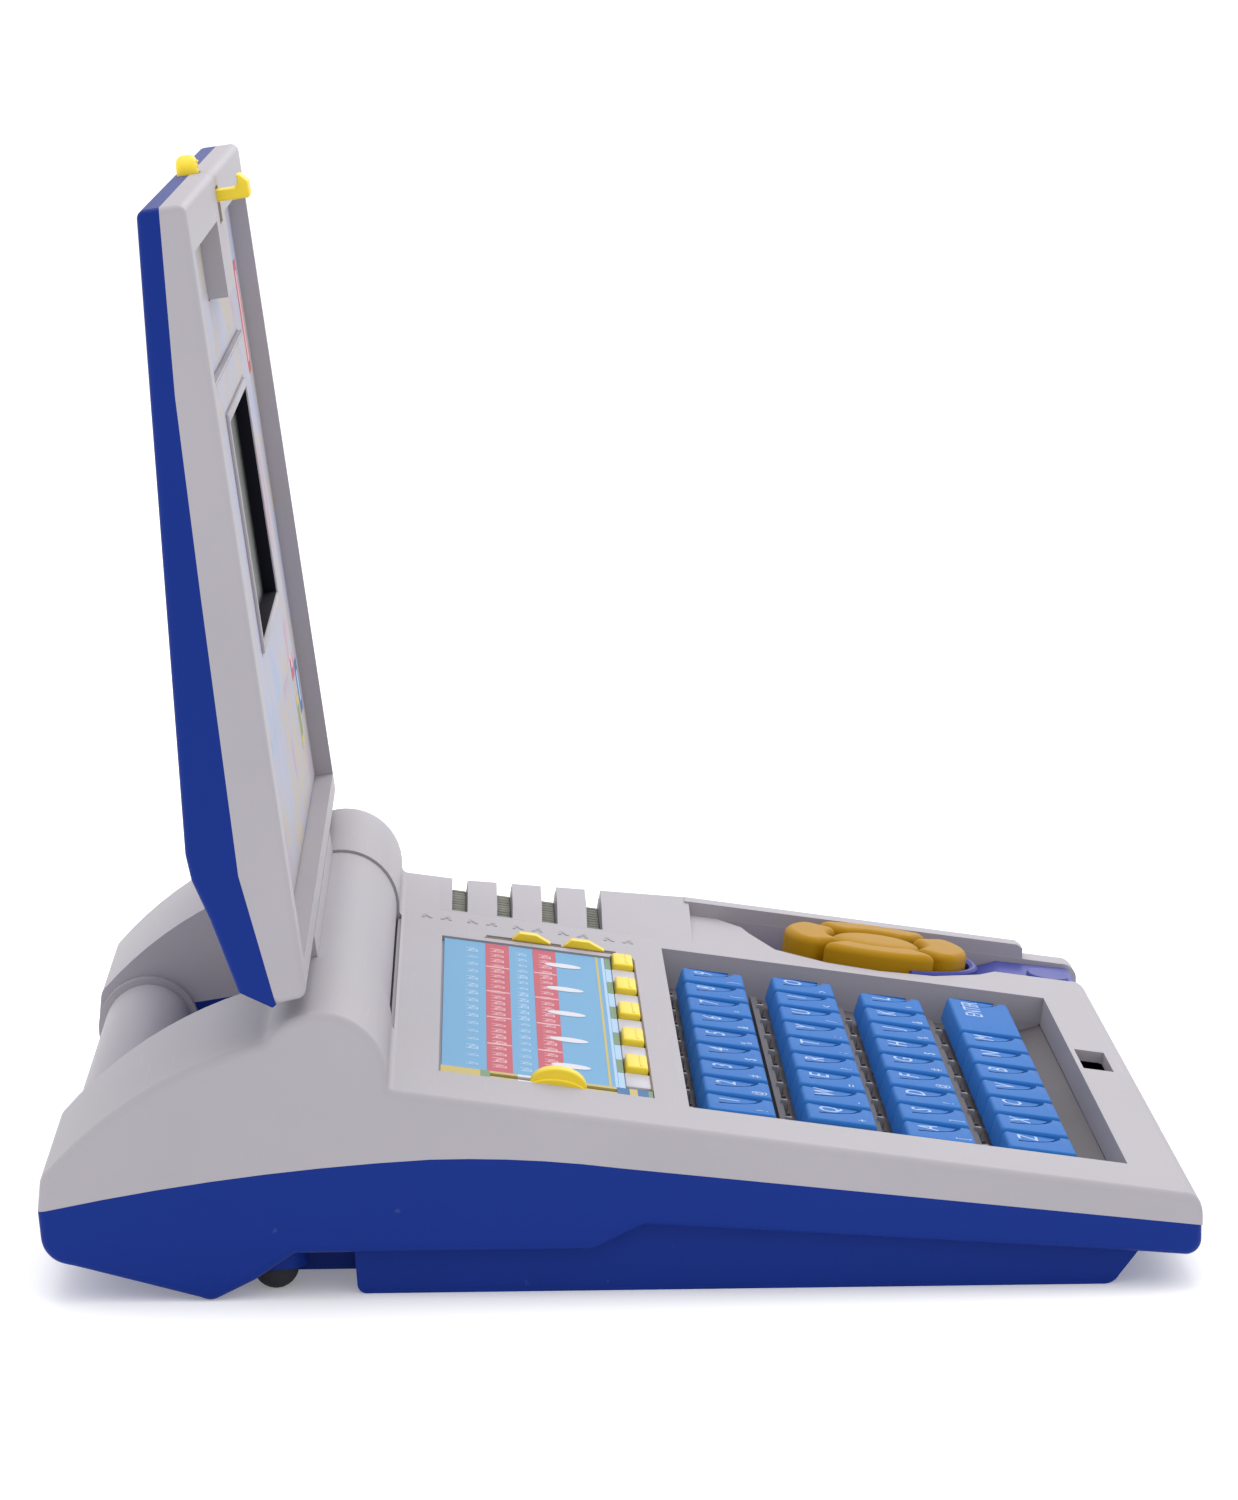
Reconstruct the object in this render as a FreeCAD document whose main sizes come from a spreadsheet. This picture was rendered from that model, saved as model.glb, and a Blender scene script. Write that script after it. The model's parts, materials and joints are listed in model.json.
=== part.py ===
"""Toy laptop computer: a hinged lid with a small screen over a wedge-shaped keyboard base.

Frame: +X is the user's right, -Y is the user's side, +Z is up. The origin is the middle of the
footprint, on the surface that the toy rests on. All sizes are in millimetres.

Three local frames are used. The body frame is the frame above. The deck frame (x, v, w) lies on the
sloping keyboard deck: v runs to the rear and w stands up from it. The lid frame (x, t, s) starts on the
hinge axis: t runs behind the screen face and s runs from the hinge to the top of the open lid.
"""

import FreeCAD, Part
import math
import os

DRIVING = {
    "body_width": 246.0, "front_y": -114.0, "rear_y": 114.0,
    "deck_height": 35.17, "deck_angle": 8.24, "wall": 2.4,
    "arm_inner": 64.0, "trough_rear": 74.4, "hump_radius": 13.2,
    "hinge_y": 58.6, "hinge_z": 43.95, "lid_lean": 7.69, "lid_height": 171.7, "lid_recess": 4.6,
    "barrel_radius": 12.6, "barrel_length": 127.2, "stud_radius": 3.0,
    "handle_y": 102.5, "handle_z": 17.0, "handle_radius": 10.0,
    "well_left": -102.0, "well_right": 66.0, "well_rear": -14.3, "well_front": -102.6,
    "key_pitch": 16.6, "key_width": 15.6, "key_depth": 15.2, "key_cap": 5.3, "key_top": -1.5,
    "stem_width": 9.0, "stem_depth": 8.4, "stem_drop": 5.6,
    "plate_top": -9.0, "plate_thick": 2.0, "membrane_top": -14.6, "membrane_thick": 1.2,
    "board_top": -16.1, "board_thick": 1.6,
    "card_left": -98.0, "card_right": 47.0, "card_rear": 36.0, "card_front": -7.5, "card_sink": 1.2,
    "mode_pitch": 27.4, "mode_width": 13.0, "mode_depth": 4.4,
    "pad_x": 95.5, "pad_v": -65.5, "pad_half_x": 17.5, "pad_half_v": 21.5, "pad_top": 3.6,
    "tray_floor": -5.6, "rim_height": 3.2, "flank_round": 2.0, "lid_round": 1.6,
    "cell_radius": 7.15, "cell_length": 50.0, "door_gap": 0.3,
}
ROWS = (  # name of each key in the row, left edge of the row, middle of the row along the deck
    ("123456789", -94.0, -25.7),
    ("qwertyuio", -91.0, -46.3),
    ("asdfghjkl", -96.0, -66.2),
    ("zxcvbnm", -93.5, -86.9),
)
ENTER_UNITS = 2.3

doc = FreeCAD.newDocument("toy_laptop")
sheet = doc.addObject("Spreadsheet::Sheet", "Sizes")
for row, (alias, number) in enumerate(DRIVING.items(), start=1):
    sheet.set(f"A{row}", alias)
    sheet.set(f"B{row}", str(number))
    sheet.setAlias(f"B{row}", alias)
doc.recompute()
BODY, DECK, LID = "body", "deck", "lid"
finished = []


def size(alias):
    """The number in the sheet's cell of that alias."""
    return float(getattr(sheet, alias))


W, WALL = size("body_width") / 2, size("wall")
HY, HZ = size("hinge_y"), size("hinge_z")
SLOPE = math.tan(math.radians(size("deck_angle")))


def deck_z(y):
    """Height of the deck plane over the body frame's y."""
    return size("deck_height") + SLOPE * y


def bind(thing, **cells):
    """Binds properties to expressions on the sheet's cells; two underscores stand for a dot."""
    for name, expression in cells.items():
        thing.setExpression(name.replace("__", "."), expression.replace("$", "Sizes."))


def into_frame(thing, frame):
    """Gives an object the placement of its frame, bound to the sheet."""
    if frame == BODY:
        return thing
    thing.Placement.Rotation = FreeCAD.Rotation(FreeCAD.Vector(1, 0, 0), 1)
    if frame == DECK:
        bind(thing, Placement__Rotation__Angle="$deck_angle", Placement__Base__z="$deck_height")
    else:
        thing.Placement.Rotation = FreeCAD.Rotation(FreeCAD.Vector(-1, 0, 0), 1)
        bind(thing, Placement__Rotation__Angle="$lid_lean", Placement__Base__y="$hinge_y",
             Placement__Base__z="$hinge_z")
    return thing


def box(x, y, z, **cells):
    """A box over three (low, high) spans; any of its properties may be bound to cells."""
    made = doc.addObject("Part::Box", "Box")
    made.Length, made.Width, made.Height = x[1] - x[0], y[1] - y[0], z[1] - z[0]
    made.Placement.Base = FreeCAD.Vector(x[0], y[0], z[0])
    bind(made, **cells)
    return made


def cylinder(radius, length, base, axis=(0, 0, 1), **cells):
    """A cylinder from its base centre along an axis."""
    made = doc.addObject("Part::Cylinder", "Cylinder")
    made.Radius, made.Height = radius, length
    turn = FreeCAD.Rotation(FreeCAD.Vector(0, 0, 1), FreeCAD.Vector(*axis))
    made.Placement = FreeCAD.Placement(FreeCAD.Vector(*base), turn)
    bind(made, **cells)
    return made


def x_cylinder(radius, x, y, z, **cells):
    """A cylinder along X over the span x."""
    return cylinder(radius, x[1] - x[0], (x[0], y, z), (1, 0, 0), **cells)


def oval(centre, half_x, half_v, low, high):
    """An upright elliptic column of the deck frame."""
    ring = Part.Ellipse(FreeCAD.Vector(0, 0, 0), max(half_x, half_v), min(half_x, half_v))
    face = Part.Face(Part.Wire([ring.toShape()]))
    if half_v > half_x:
        face.rotate(FreeCAD.Vector(0, 0, 0), FreeCAD.Vector(0, 0, 1), 90)
    made = doc.addObject("Part::Feature", "Oval")
    face.translate(FreeCAD.Vector(centre[0], centre[1], low))
    made.Shape = face.extrude(FreeCAD.Vector(0, 0, high - low))
    return made


def outline_edges(start, steps):
    """Lines to points, and arcs through a (via, end) pair, closed back to the start."""
    here, edges = start, []
    for step in list(steps) + [start]:
        if isinstance(step[0], tuple):
            via, end = step
            points = [FreeCAD.Vector(p[0], p[1], 0) for p in (here, via, end)]
            edges.append(Part.Arc(*points))
        else:
            end = step
            if math.dist(here, end) < 1e-6:
                continue
            edges.append(Part.LineSegment(FreeCAD.Vector(*here, 0), FreeCAD.Vector(*end, 0)))
        here = end
    return edges


def prism(plane, start, steps, low, high):
    """A PartDesign body: an outline sketched on an origin plane and padded from low to high."""
    body = doc.addObject("PartDesign::Body", "Prism")
    sketch = body.newObject("Sketcher::SketchObject", "Outline")
    support = [f for f in body.Origin.OriginFeatures if f.Role == plane][0]
    sketch.AttachmentSupport = [(support, "")]
    sketch.MapMode = "FlatFace"
    for edge in outline_edges(start, steps):
        sketch.addGeometry(edge, False)
    pad = body.newObject("PartDesign::Pad", "Pad")
    pad.Profile = sketch
    pad.Length = high - low
    sketch.Visibility = False
    shift = FreeCAD.Vector(low, 0, 0) if plane == "YZ_Plane" else FreeCAD.Vector(0, 0, low)
    body.Placement.Base = shift
    return body


def side_prism(start, steps, half_width=None, x=None):
    """A prism of a side outline in (y, z), across the width or over the span x."""
    low, high = x or (-half_width, half_width)
    return prism("YZ_Plane", start, steps, low, high)


def deck_prism(points, low, high):
    """A prism of a plan outline in (x, v), from low to high over the deck."""
    return prism("XY_Plane", points[0], points[1:], low, high)


def grown(points, by):
    """The corners of a closed plan outline, drawn anticlockwise, moved out by a distance."""
    moved = []
    for before, here, after in zip(points[-1:] + points[:-1], points, points[1:] + points[:1]):
        normals = []
        for p, q in ((before, here), (here, after)):
            run = math.dist(p, q)
            normals.append(((q[1] - p[1]) / run, (p[0] - q[0]) / run))
        (ax, ay), (bx, by_) = normals
        stretch = by / (1 + ax * bx + ay * by_)
        moved.append((here[0] + (ax + bx) * stretch, here[1] + (ay + by_) * stretch))
    return moved


def fuse(*parts):
    """The union of some objects."""
    parts = [p for p in parts if p is not None]
    if len(parts) == 1:
        return parts[0]
    made = doc.addObject("Part::MultiFuse", "Fuse")
    made.Shapes = list(parts)
    made.Refine = True
    return made


def cut(base, *tools):
    """A base without its tools."""
    made = doc.addObject("Part::Cut", "Cut")
    made.Base = base
    made.Tool = fuse(*tools)
    made.Refine = True
    return made


def group(*parts):
    """Separate solids kept side by side in one node."""
    made = doc.addObject("Part::Compound", "Group")
    made.Links = list(parts)
    return made


def node(label, thing, frame=BODY):
    """Names a finished sub-part and puts it in its frame."""
    if frame != BODY and thing.TypeId == "Part::Box":
        thing = wrapped(thing)  # a bare box uses its own placement for its corner
    thing.Label = label
    into_frame(thing, frame)
    finished.append(thing)
    return thing


def in_frame(thing, frame):
    """An operand of the body frame that was drawn in another frame."""
    return into_frame(wrapped(thing), frame)


def wrapped(thing):
    """Wraps an operand, so that the wrapper's placement is free."""
    made = doc.addObject("Part::Compound", "Turned")
    made.Links = [thing]
    return made


def rounded(thing, radius, wanted):
    """Rounds the edges that a test picks."""
    doc.recompute()
    made = doc.addObject("Part::Fillet", "Rounded")
    made.Base = thing
    chosen = [i for i, e in enumerate(thing.Shape.Edges, start=1) if wanted(e)]
    made.Edges = [(i, radius, radius) for i in chosen]
    return made


def x_edge(*places):
    """A test for long edges along X that pass within 1.5 of one of some (y, z) places."""
    def wanted(edge):
        bounds, middle = edge.BoundBox, edge.CenterOfMass
        along = bounds.XLength > 1 and bounds.YLength < 1e-3 and bounds.ZLength < 1e-3
        return along and any(abs(middle.y - y) < 1.5 and abs(middle.z - z) < 1.5 for y, z in places)
    return wanted


def flank_edge(also):
    """A test for edges of the two flat flanks that a second test of (y, z) bounds accepts too."""
    def wanted(edge):
        on_flank = abs(abs(edge.CenterOfMass.x) - W) < 1e-3 and edge.BoundBox.XLength < 1e-3
        return on_flank and also(edge.CenterOfMass, edge.BoundBox)
    return wanted


# Side outlines of the base, in (y, z)
SPLIT_REAR, SPLIT_FRONT = (114.0, 18.2), (-114.0, 12.8)
SPLIT_CREST, SPLIT_KNEE = (37.3, 27.9), (0.2, 25.7)
SPLIT_REAR_VIA, SPLIT_CREST_VIA = (72.4, 25.0), (19.7, 27.6)
REAR_TOP, ARM_VIA = (113.4, 24.8), (93.5, 41.6)


def on_hump(degrees, radius):
    """A point of a circle about the hinge axis, in (y, z)."""
    a = math.radians(degrees)
    return HY + radius * math.cos(a), HZ + radius * math.sin(a)


def hump_meets_deck(radius, drop):
    """Where a circle about the hinge meets the deck plane lowered by drop, at its front."""
    angles = [180 + i / 20 for i in range(1200)]
    return next(on_hump(a, radius) for a in angles
                if on_hump(a, radius)[1] < deck_z(on_hump(a, radius)[0]) - drop)


# Plan outline of the direction pad's tray opening, in (x, v)
TRAY = [(113.0, -29.0), (106.0, -34.6), (99.0, -36.2), (83.0, -41.4), (75.0, -53.0), (73.0, -65.0),
        (75.6, -78.0), (85.0, -89.4), (91.5, -93.6), (91.5, -111.6), (113.0, -111.6)]
MODE_X = [-67.6 + size("mode_pitch") * i for i in range(5)]
SLOT_V = [32.1 - 10.45 * i for i in range(4)]
SLIDERS = {  # name: x, middle of the knob along the deck, knob width, knob height, slot ends, base height
    "power_slider": (-94.5, 11.8, 11.0, 4.3, (2.0, 24.5), -size("card_sink")),
    "volume_slider": (53.0, 15.8, 8.6, 2.6, (9.0, 26.0), 0.0),
    "contrast_slider": (53.0, 3.8, 8.6, 2.6, (-3.5, 7.2), 0.0),
}
CASE_SCREWS = ((-109, -80, 0.0), (-109, 30, 0.0), (104, -12, 0.0), (77, -94, 0.0), (-93, 88, 2.2),
               (93, 88, 2.2))
BAY_X, BAY_Y = (-33.0, 33.0), (-2.0, 46.0)
FOOT_X, FOOT_Y, FOOT_RADIUS = (-112.0, 112.0), 68.0, 4.6


def key_centres():
    """Each key's node name, middle (x, v) and width."""
    pitch = size("key_pitch")
    for names, left, v in ROWS:
        for i, name in enumerate(names):
            yield f"key_{name}", left + pitch * (i + 0.5), v, size("key_width")
    names, left, v = ROWS[3]
    width = ENTER_UNITS * pitch
    yield "key_enter", left + pitch * len(names) + width / 2, v, width - pitch + size("key_width")


def upper_outline():
    """The grey shell's side outline: arms, hump and sloping deck."""
    steps = [REAR_TOP, (ARM_VIA, on_hump(35, size("hump_radius"))),
             (on_hump(100, size("hump_radius")), hump_meets_deck(size("hump_radius"), 0)),
             (-110.2, deck_z(-110.2)), ((-113.0, deck_z(-113.0) - 0.7), (-114.0, 16.2)), SPLIT_FRONT,
             SPLIT_KNEE, (SPLIT_CREST_VIA, SPLIT_CREST), (SPLIT_REAR_VIA, SPLIT_REAR)]
    return SPLIT_REAR, steps


def make_upper_shell():
    """Keyboard deck, side walls, hinge humps and arms in one moulding."""
    start, steps = upper_outline()
    outer = side_prism(start, steps, W)
    radius = size("hump_radius")
    outer = rounded(outer, 1.5, x_edge(hump_meets_deck(radius, 0)))
    outer = rounded(outer, 4.0, x_edge(on_hump(35, radius)))
    outer = rounded(outer, 3.5, x_edge(REAR_TOP))
    outer = rounded(outer, size("flank_round"), flank_edge(
        lambda middle, bounds: bounds.ZMax > 28.5 or middle.y > 110.5
        or (middle.z > deck_z(middle.y) - 2.5 and middle.y < 45)))
    # hollow inside: the main chamber, and one chamber in each arm
    under = WALL / math.cos(math.radians(size("deck_angle")))
    main = side_prism((-111.6, 8.0), [(-111.6, deck_z(-111.6) - under - 1.0), (-108.0, deck_z(-108) - under),
                                      (42.5, deck_z(42.5) - under), (42.5, 20.0), (0.0, 20.0)], W - WALL)
    arms = [side_prism((42.0, 20.0), [(42.0, deck_z(42.0) - under), (48.0, 42.0), (53.0, 51.0),
                                      (64.5, 51.4), (72.0, 47.0), (84.0, 42.6), (97.0, 35.6), (104.0, 30.5),
                                      (111.4, 21.0), (111.4, 12.0), (60.0, 12.0)],
                       x=span) for span in ((-W + WALL, -66.4), (66.4, W - WALL))]
    inner = size("arm_inner")
    hand = box((-inner, inner), (size("trough_rear"), 130), (0, 90), Placement__Base__y="$trough_rear")
    above = box((-inner, inner), (HY - size("hump_radius") - 0.5, 80), (deck_z(45) - 0.6, 90))
    lip = box((-inner, inner), (HY, 90), (38.0, 90))
    well = x_cylinder(size("hump_radius"), (-inner, inner), HY, HZ, Radius="$hump_radius")
    studs = x_cylinder(size("stud_radius") + 0.05, (-inner - 4, inner + 4), HY, HZ,
                       Radius="$stud_radius + 0.05")
    shell = cut(outer, main, *arms, hand, above, lip, well, studs)
    # raised work on the deck and the skirts that hang from it
    left, right = size("well_left"), size("well_right")
    rear, front = size("well_rear"), size("well_front")
    skirt = box((left - 1.6, right + 1.6), (front - 1.5, rear + 1.6), (-6.2, -1.2))
    deep = box((left - 1.6, right + 1.6), (front + 8.0, rear + 1.6), (size("plate_top"), -1.2))
    tray_skirt = deck_prism(grown(TRAY, 1.5), size("tray_floor"), -1.2)
    crest = size("rim_height")
    rim = side_prism((-21.0, -1.5), [(-21.0, crest), (-100.6, crest), (-102.0, crest - 0.8), (-102.4, -1.5)],
                     x=(113.2, 119.0))
    raised = in_frame(fuse(skirt, deep, tray_skirt, rim, rising_corner(crest)), DECK)
    bosses = [cut(cylinder(3.4, min(deck_z(y) - 1.5, 39.0) - (12 + z), (x, y, 12 + z)),
                  cylinder(1.35, 13.0, (x, y, 11 + z))) for x, y, z in CASE_SCREWS]
    keys = box((left, right), (front, rear), (-20, 10), Length="$well_right - $well_left",
               Width="$well_rear - $well_front")
    tray = deck_prism(TRAY, -20, 10)
    mouth = box((91.5, 113.0), (-125, -111), (size("tray_floor"), 10))
    card = box((size("card_left"), size("card_right")), (size("card_front"), size("card_rear")),
               (-size("card_sink"), 10), Placement__Base__z="-$card_sink")
    modes = [box((x - 6.9, x + 6.9), (-7.3, -2.0), (-9, 3)) for x in MODE_X]
    slots = [box((79, 130), (v - 1.8, v + 1.8), (-4.6, 6)) for v in SLOT_V]
    slits = [box((x - 1.3, x + 1.3), ends, (-6, 6)) for x, _, _, _, ends, _ in SLIDERS.values()]
    catch = box((-10, 10), (-110.3, -103.7), (-6.4, 6))
    openings = in_frame(fuse(keys, tray, mouth, card, *modes, *slots, *slits, catch), DECK)
    return node("upper_shell", cut(fuse(shell, raised, *bosses), openings))


def rising_corner(crest):
    """Deck surface that rises from the card's side to the crest of the far rim."""
    near, far, rear, front, root = 78.0, 119.0, 36.6, -22.0, -1.5
    low = [FreeCAD.Vector(x, v, root) for x, v in ((near, rear), (far, rear), (far, front), (near, front))]
    heights = (0.0, 0.02, crest, 0.0)
    top = [FreeCAD.Vector(p.x, p.y, h) for p, h in zip(low, heights)]
    corners = [(low[3], low[2], low[1], low[0]), (top[0], top[1], top[2]), (top[0], top[2], top[3])]
    corners += [(low[i], low[(i + 1) % 4], top[(i + 1) % 4], top[i]) for i in range(4)]
    faces = [Part.Face(Part.makePolygon(list(c) + [c[0]])) for c in corners]
    made = doc.addObject("Part::Feature", "RisingCorner")
    made.Shape = Part.makeSolid(Part.makeShell(faces))
    return made


def split_steps():
    """The split line from front to rear, as outline steps after SPLIT_FRONT."""
    return [SPLIT_KNEE, (SPLIT_CREST_VIA, SPLIT_CREST), (SPLIT_REAR_VIA, SPLIT_REAR)]


def make_lower_shell():
    """Blue tub: drafted sides, keel under each arm and a flat belly that the toy rests on."""
    tub = side_prism(SPLIT_FRONT, split_steps() + [
        (113.5, 12.8), ((112.2, 9.6), (109.0, 7.6)), (106.0, 6.9), (82.4, 0.5), ((80.6, 0.05), (78.8, 0.5)),
        (71.8, 3.9), (63.9, 9.2), (5.5, 9.2), (-4.6, 14.0), (-102.5, 7.3), (-110.6, 6.6),
        ((-113.2, 7.6), (-114.0, 9.8))], W)
    tub = rounded(tub, size("flank_round"), flank_edge(
        lambda middle, bounds: bounds.ZMax < 14.2 and abs(middle.y) < 113.2))
    belly = side_prism((52.6, 12.0), [(51.9, 1.8), ((51.3, 0.5), (49.8, 0.0)), (-94.9, 0.0),
                                      ((-96.8, 0.4), (-98.2, 1.8)), (-103.2, 8.2), (-100.0, 12.0),
                                      (-20.0, 15.0), (10.0, 12.0)], W - 5.0)
    back = box((-106, 106), (48, 66), (2.0, 11))
    main = side_prism((-111.6, 30.0), [(-111.6, 10.4), (-109.5, 9.2), (-101.8, 9.9), (-80.0, 11.4),
                                       (-4.2, 16.6), (6.6, 11.6), (72.0, 11.6), (72.0, 40.0)], W - WALL)
    hold = side_prism((50.2, 20.0), [(49.4, 2.2), (-93.9, 2.2), (-97.2, 4.3), (-101.0, 9.4), (-60.0, 20.0)],
                      W - 7.4)
    back_room = box((-103.6, 103.6), (40, 63.6), (4.4, 14))
    arms = [side_prism((66.0, 40.0), [(66.0, 11.0), (72.8, 6.4), (80.6, 2.7), (105.4, 9.3), (109.9, 10.6),
                                      (111.2, 13.4), (111.4, 40.0)], x=span)
            for span in ((-W + WALL, -66.4), (66.4, W - WALL))]
    inner = size("arm_inner")
    hand = box((-inner, inner), (size("trough_rear"), 130), (-5, 60), Placement__Base__y="$trough_rear")
    bay_wall = cut(box((BAY_X[0] - 1.6, BAY_X[1] + 1.6), (BAY_Y[0] - 1.6, BAY_Y[1] + 1.6), (1.0, 19.0)),
                   box(BAY_X, BAY_Y, (-1, 30)))
    posts = [cylinder(4.0, 12.0 - 1.0, (x, y, z + 1.0)) for x, y, z in CASE_SCREWS]
    heads = [cylinder(3.1, 6.0, (x, y, z - 1.0)) for x, y, z in CASE_SCREWS]
    shanks = [cylinder(1.6, 14.0, (x, y, z)) for x, y, z in CASE_SCREWS]
    window = box(BAY_X, BAY_Y, (-1, 10))
    ledge = box((-8.3, 8.3), (BAY_Y[1], 49.3), (-1, 1.4))
    foot_pads = [cylinder(6.4, 5.5, (x, FOOT_Y, 5.0)) for x in FOOT_X]
    sockets = [cylinder(FOOT_RADIUS, 9.0, (x, FOOT_Y, -1.0)) for x in FOOT_X]
    shell = cut(fuse(tub, belly, back, *foot_pads), main, hold, back_room, *arms)
    shell = fuse(shell, bay_wall, *posts)
    return node("lower_shell", cut(shell, hand, window, ledge, *heads, *shanks, *sockets))


def make_handle_bar():
    """Tube between the arms with a collar at each end."""
    inner = size("arm_inner")
    y, z = size("handle_y"), size("handle_z")
    tube = x_cylinder(size("handle_radius"), (-inner, inner), y, z, Radius="$handle_radius",
                      Placement__Base__y="$handle_y", Placement__Base__z="$handle_z")
    collars = [x_cylinder(size("handle_radius") + 1.5, span, y, z)
               for span in ((-inner, -inner + 2.5), (inner - 2.5, inner))]
    bore = x_cylinder(size("handle_radius") - 2.2, (-inner - 1, inner + 1), y, z)
    node("handle_bar", cut(fuse(tube, *collars), bore))


def make_base_hardware():
    """Battery door, cells and contacts, screws and feet."""
    gap = size("door_gap")
    door = box((BAY_X[0] + gap, BAY_X[1] - gap), (BAY_Y[0] + gap, BAY_Y[1] - gap), (0.2, 2.2))
    tongue = box((-8.0, 8.0), (BAY_Y[1] - 2, 49.0), (0.2, 1.3))
    node("battery_door", fuse(door, tongue))
    radius, length = size("cell_radius"), size("cell_length")
    middles = [BAY_Y[0] + 8.6 + 15.4 * i for i in range(3)]
    cells = []
    for i, y in enumerate(middles):
        way = 1 if i % 2 else -1
        can = x_cylinder(radius, (-length / 2 + 0.5, length / 2 - 1.5), y, 10.4, Radius="$cell_radius")
        pip = x_cylinder(2.6, (length / 2 - 1.5, length / 2 - 0.2), y, 10.4)
        one = fuse(can, pip)
        one = wrapped(one)
        if way < 0:
            one.Placement = FreeCAD.Placement(FreeCAD.Vector(0, 2 * y, 0),
                                              FreeCAD.Rotation(FreeCAD.Vector(0, 0, 1), 180))
        cells.append(one)
    node("batteries", group(*cells))
    strips = [box((side - 0.4, side + 0.4), (y - 5, y + 5), (4.5, 16.5))
              for side in (BAY_X[0] + 0.6, BAY_X[1] - 0.6) for y in middles]
    springs = [x_cylinder(3.2, (low, low + 6.6), y, 10.4)
               for y, low in zip(middles, (BAY_X[1] - 7.7, BAY_X[0] + 1.1, BAY_X[1] - 7.7))]
    node("battery_contacts", group(*strips, *springs))
    screws = [fuse(cylinder(2.8, 1.6, (x, y, z + 3.3)), cylinder(1.3, 12.0, (x, y, z + 4.9)))
              for x, y, z in CASE_SCREWS]
    node("case_screws", group(*screws))
    feet = []
    for x in FOOT_X:
        dome = doc.addObject("Part::Sphere", "Dome")
        dome.Radius = FOOT_RADIUS
        dome.Placement.Base = FreeCAD.Vector(x, FOOT_Y, FOOT_RADIUS)
        bowl = cut(dome, box((x - 6, x + 6), (FOOT_Y - 6, FOOT_Y + 6), (FOOT_RADIUS, 12)))
        feet.append(fuse(bowl, cylinder(FOOT_RADIUS, 8.0 - FOOT_RADIUS, (x, FOOT_Y, FOOT_RADIUS))))
    node("rubber_feet", group(*feet))


def make_keyboard():
    """Key caps with their stems, the plate that guides them and the rubber sheet below."""
    left, right = size("well_left"), size("well_right")
    rear, front = size("well_rear"), size("well_front")
    top, thick = size("plate_top"), size("plate_thick")
    plate = side_prism((rear, top - thick), [(front + 6.4, top - thick), (front, top + 0.6),
                                             (front, top + 2.6), (front + 6.4, top), (rear, top)],
                       x=(left, right))
    ribs = [box((left + 6, right - 6), (v + 9.5, v + 10.9), (top - 0.5, top + 1.8))
            for _, _, v in ROWS]
    ports = []
    for name, x, v, width in key_centres():
        half_x, half_v = size("stem_width") / 2 + 0.45, size("stem_depth") / 2 + 0.45
        if name == "key_enter":
            half_x += size("key_pitch") / 2
        ports.append(box((x - half_x, x + half_x), (v - half_v, v + half_v), (top - 4, top + 1)))
    node("keyboard_plate", cut(fuse(plate, *ribs), *ports), DECK)
    low = size("membrane_top") - size("membrane_thick")
    sheet_rubber = box((left + 2, right - 2), (front + 7.4, rear - 1.0), (low, size("membrane_top")),
                       Height="$membrane_thick")
    node("key_membrane", sheet_rubber, DECK)
    for name, x, v, width in key_centres():
        make_key(name, x, v, width)


def make_key(name, x, v, width):
    """A cap that narrows towards its top, on a stem that passes through the plate."""
    cap = doc.addObject("Part::Wedge", "Cap")
    high, tall, deep = size("key_top"), size("key_cap"), size("key_depth")
    cap.Xmin, cap.Ymin, cap.Zmin = -width / 2, 0, -deep / 2
    cap.Xmax, cap.Ymax, cap.Zmax = width / 2, tall, deep / 2
    cap.X2min, cap.X2max = -width / 2 + 0.7, width / 2 - 0.7
    cap.Z2min, cap.Z2max = -deep / 2 + 0.7, deep / 2 - 0.7
    # a wedge narrows along its own Y, so it is turned to narrow along w
    bind(cap, Ymax="$key_cap", Zmax="$key_depth / 2", Zmin="-$key_depth / 2")
    turn = FreeCAD.Rotation(FreeCAD.Vector(1, 0, 0), 90)
    cap.Placement = FreeCAD.Placement(FreeCAD.Vector(x, v, high - tall), turn)
    half_x = size("stem_width") / 2 + (size("key_pitch") / 2 if name == "key_enter" else 0)
    half_v = size("stem_depth") / 2
    stem = box((x - half_x, x + half_x), (v - half_v, v + half_v),
               (high - tall - size("stem_drop"), high - tall + 0.5))
    node(name, fuse(cap, stem), DECK)


def make_board_and_speaker():
    """Circuit board under the keys, and the speaker under its slots."""
    top, thick = size("board_top"), size("board_thick")
    board = box((-98, 60), (-94.5, -12.0), (top - thick, top), Height="$board_thick",
                Placement__Base__z="$board_top - $board_thick")
    chips = [box((x, x + 14), (-44, -30), (top - thick - 2.2, top - thick)) for x in (-40, 10)]
    node("main_board", fuse(board, *chips), DECK)
    cone = doc.addObject("Part::Cone", "Cone")
    cone.Radius1, cone.Radius2, cone.Height = 9.0, 17.5, 6.0
    cone.Placement.Base = FreeCAD.Vector(99, 16.4, -13.2)
    magnet = cylinder(8.0, 4.0, (99, 16.4, -16.6))
    frame_ring = cylinder(18.5, 2.2, (99, 16.4, -7.4))
    node("speaker", fuse(cone, magnet, frame_ring), DECK)


def make_card_and_buttons():
    """Printed card in its pocket, and the comb of five mode buttons."""
    low, high = -size("card_sink"), -size("card_sink") + 0.8
    card = box((-91.0, 46.4), (-0.6, 35.4), (low, high))
    node("activity_card", card, DECK)
    caps = [box((x - 6.5, x + 6.5), (-6.9, -2.4), (-5.0, 0.9)) for x in MODE_X]
    rail = box((-76.0, 50.0), (-8.6, -1.2), (-6.0, -4.6))
    node("mode_buttons", fuse(rail, *caps), DECK)


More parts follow.
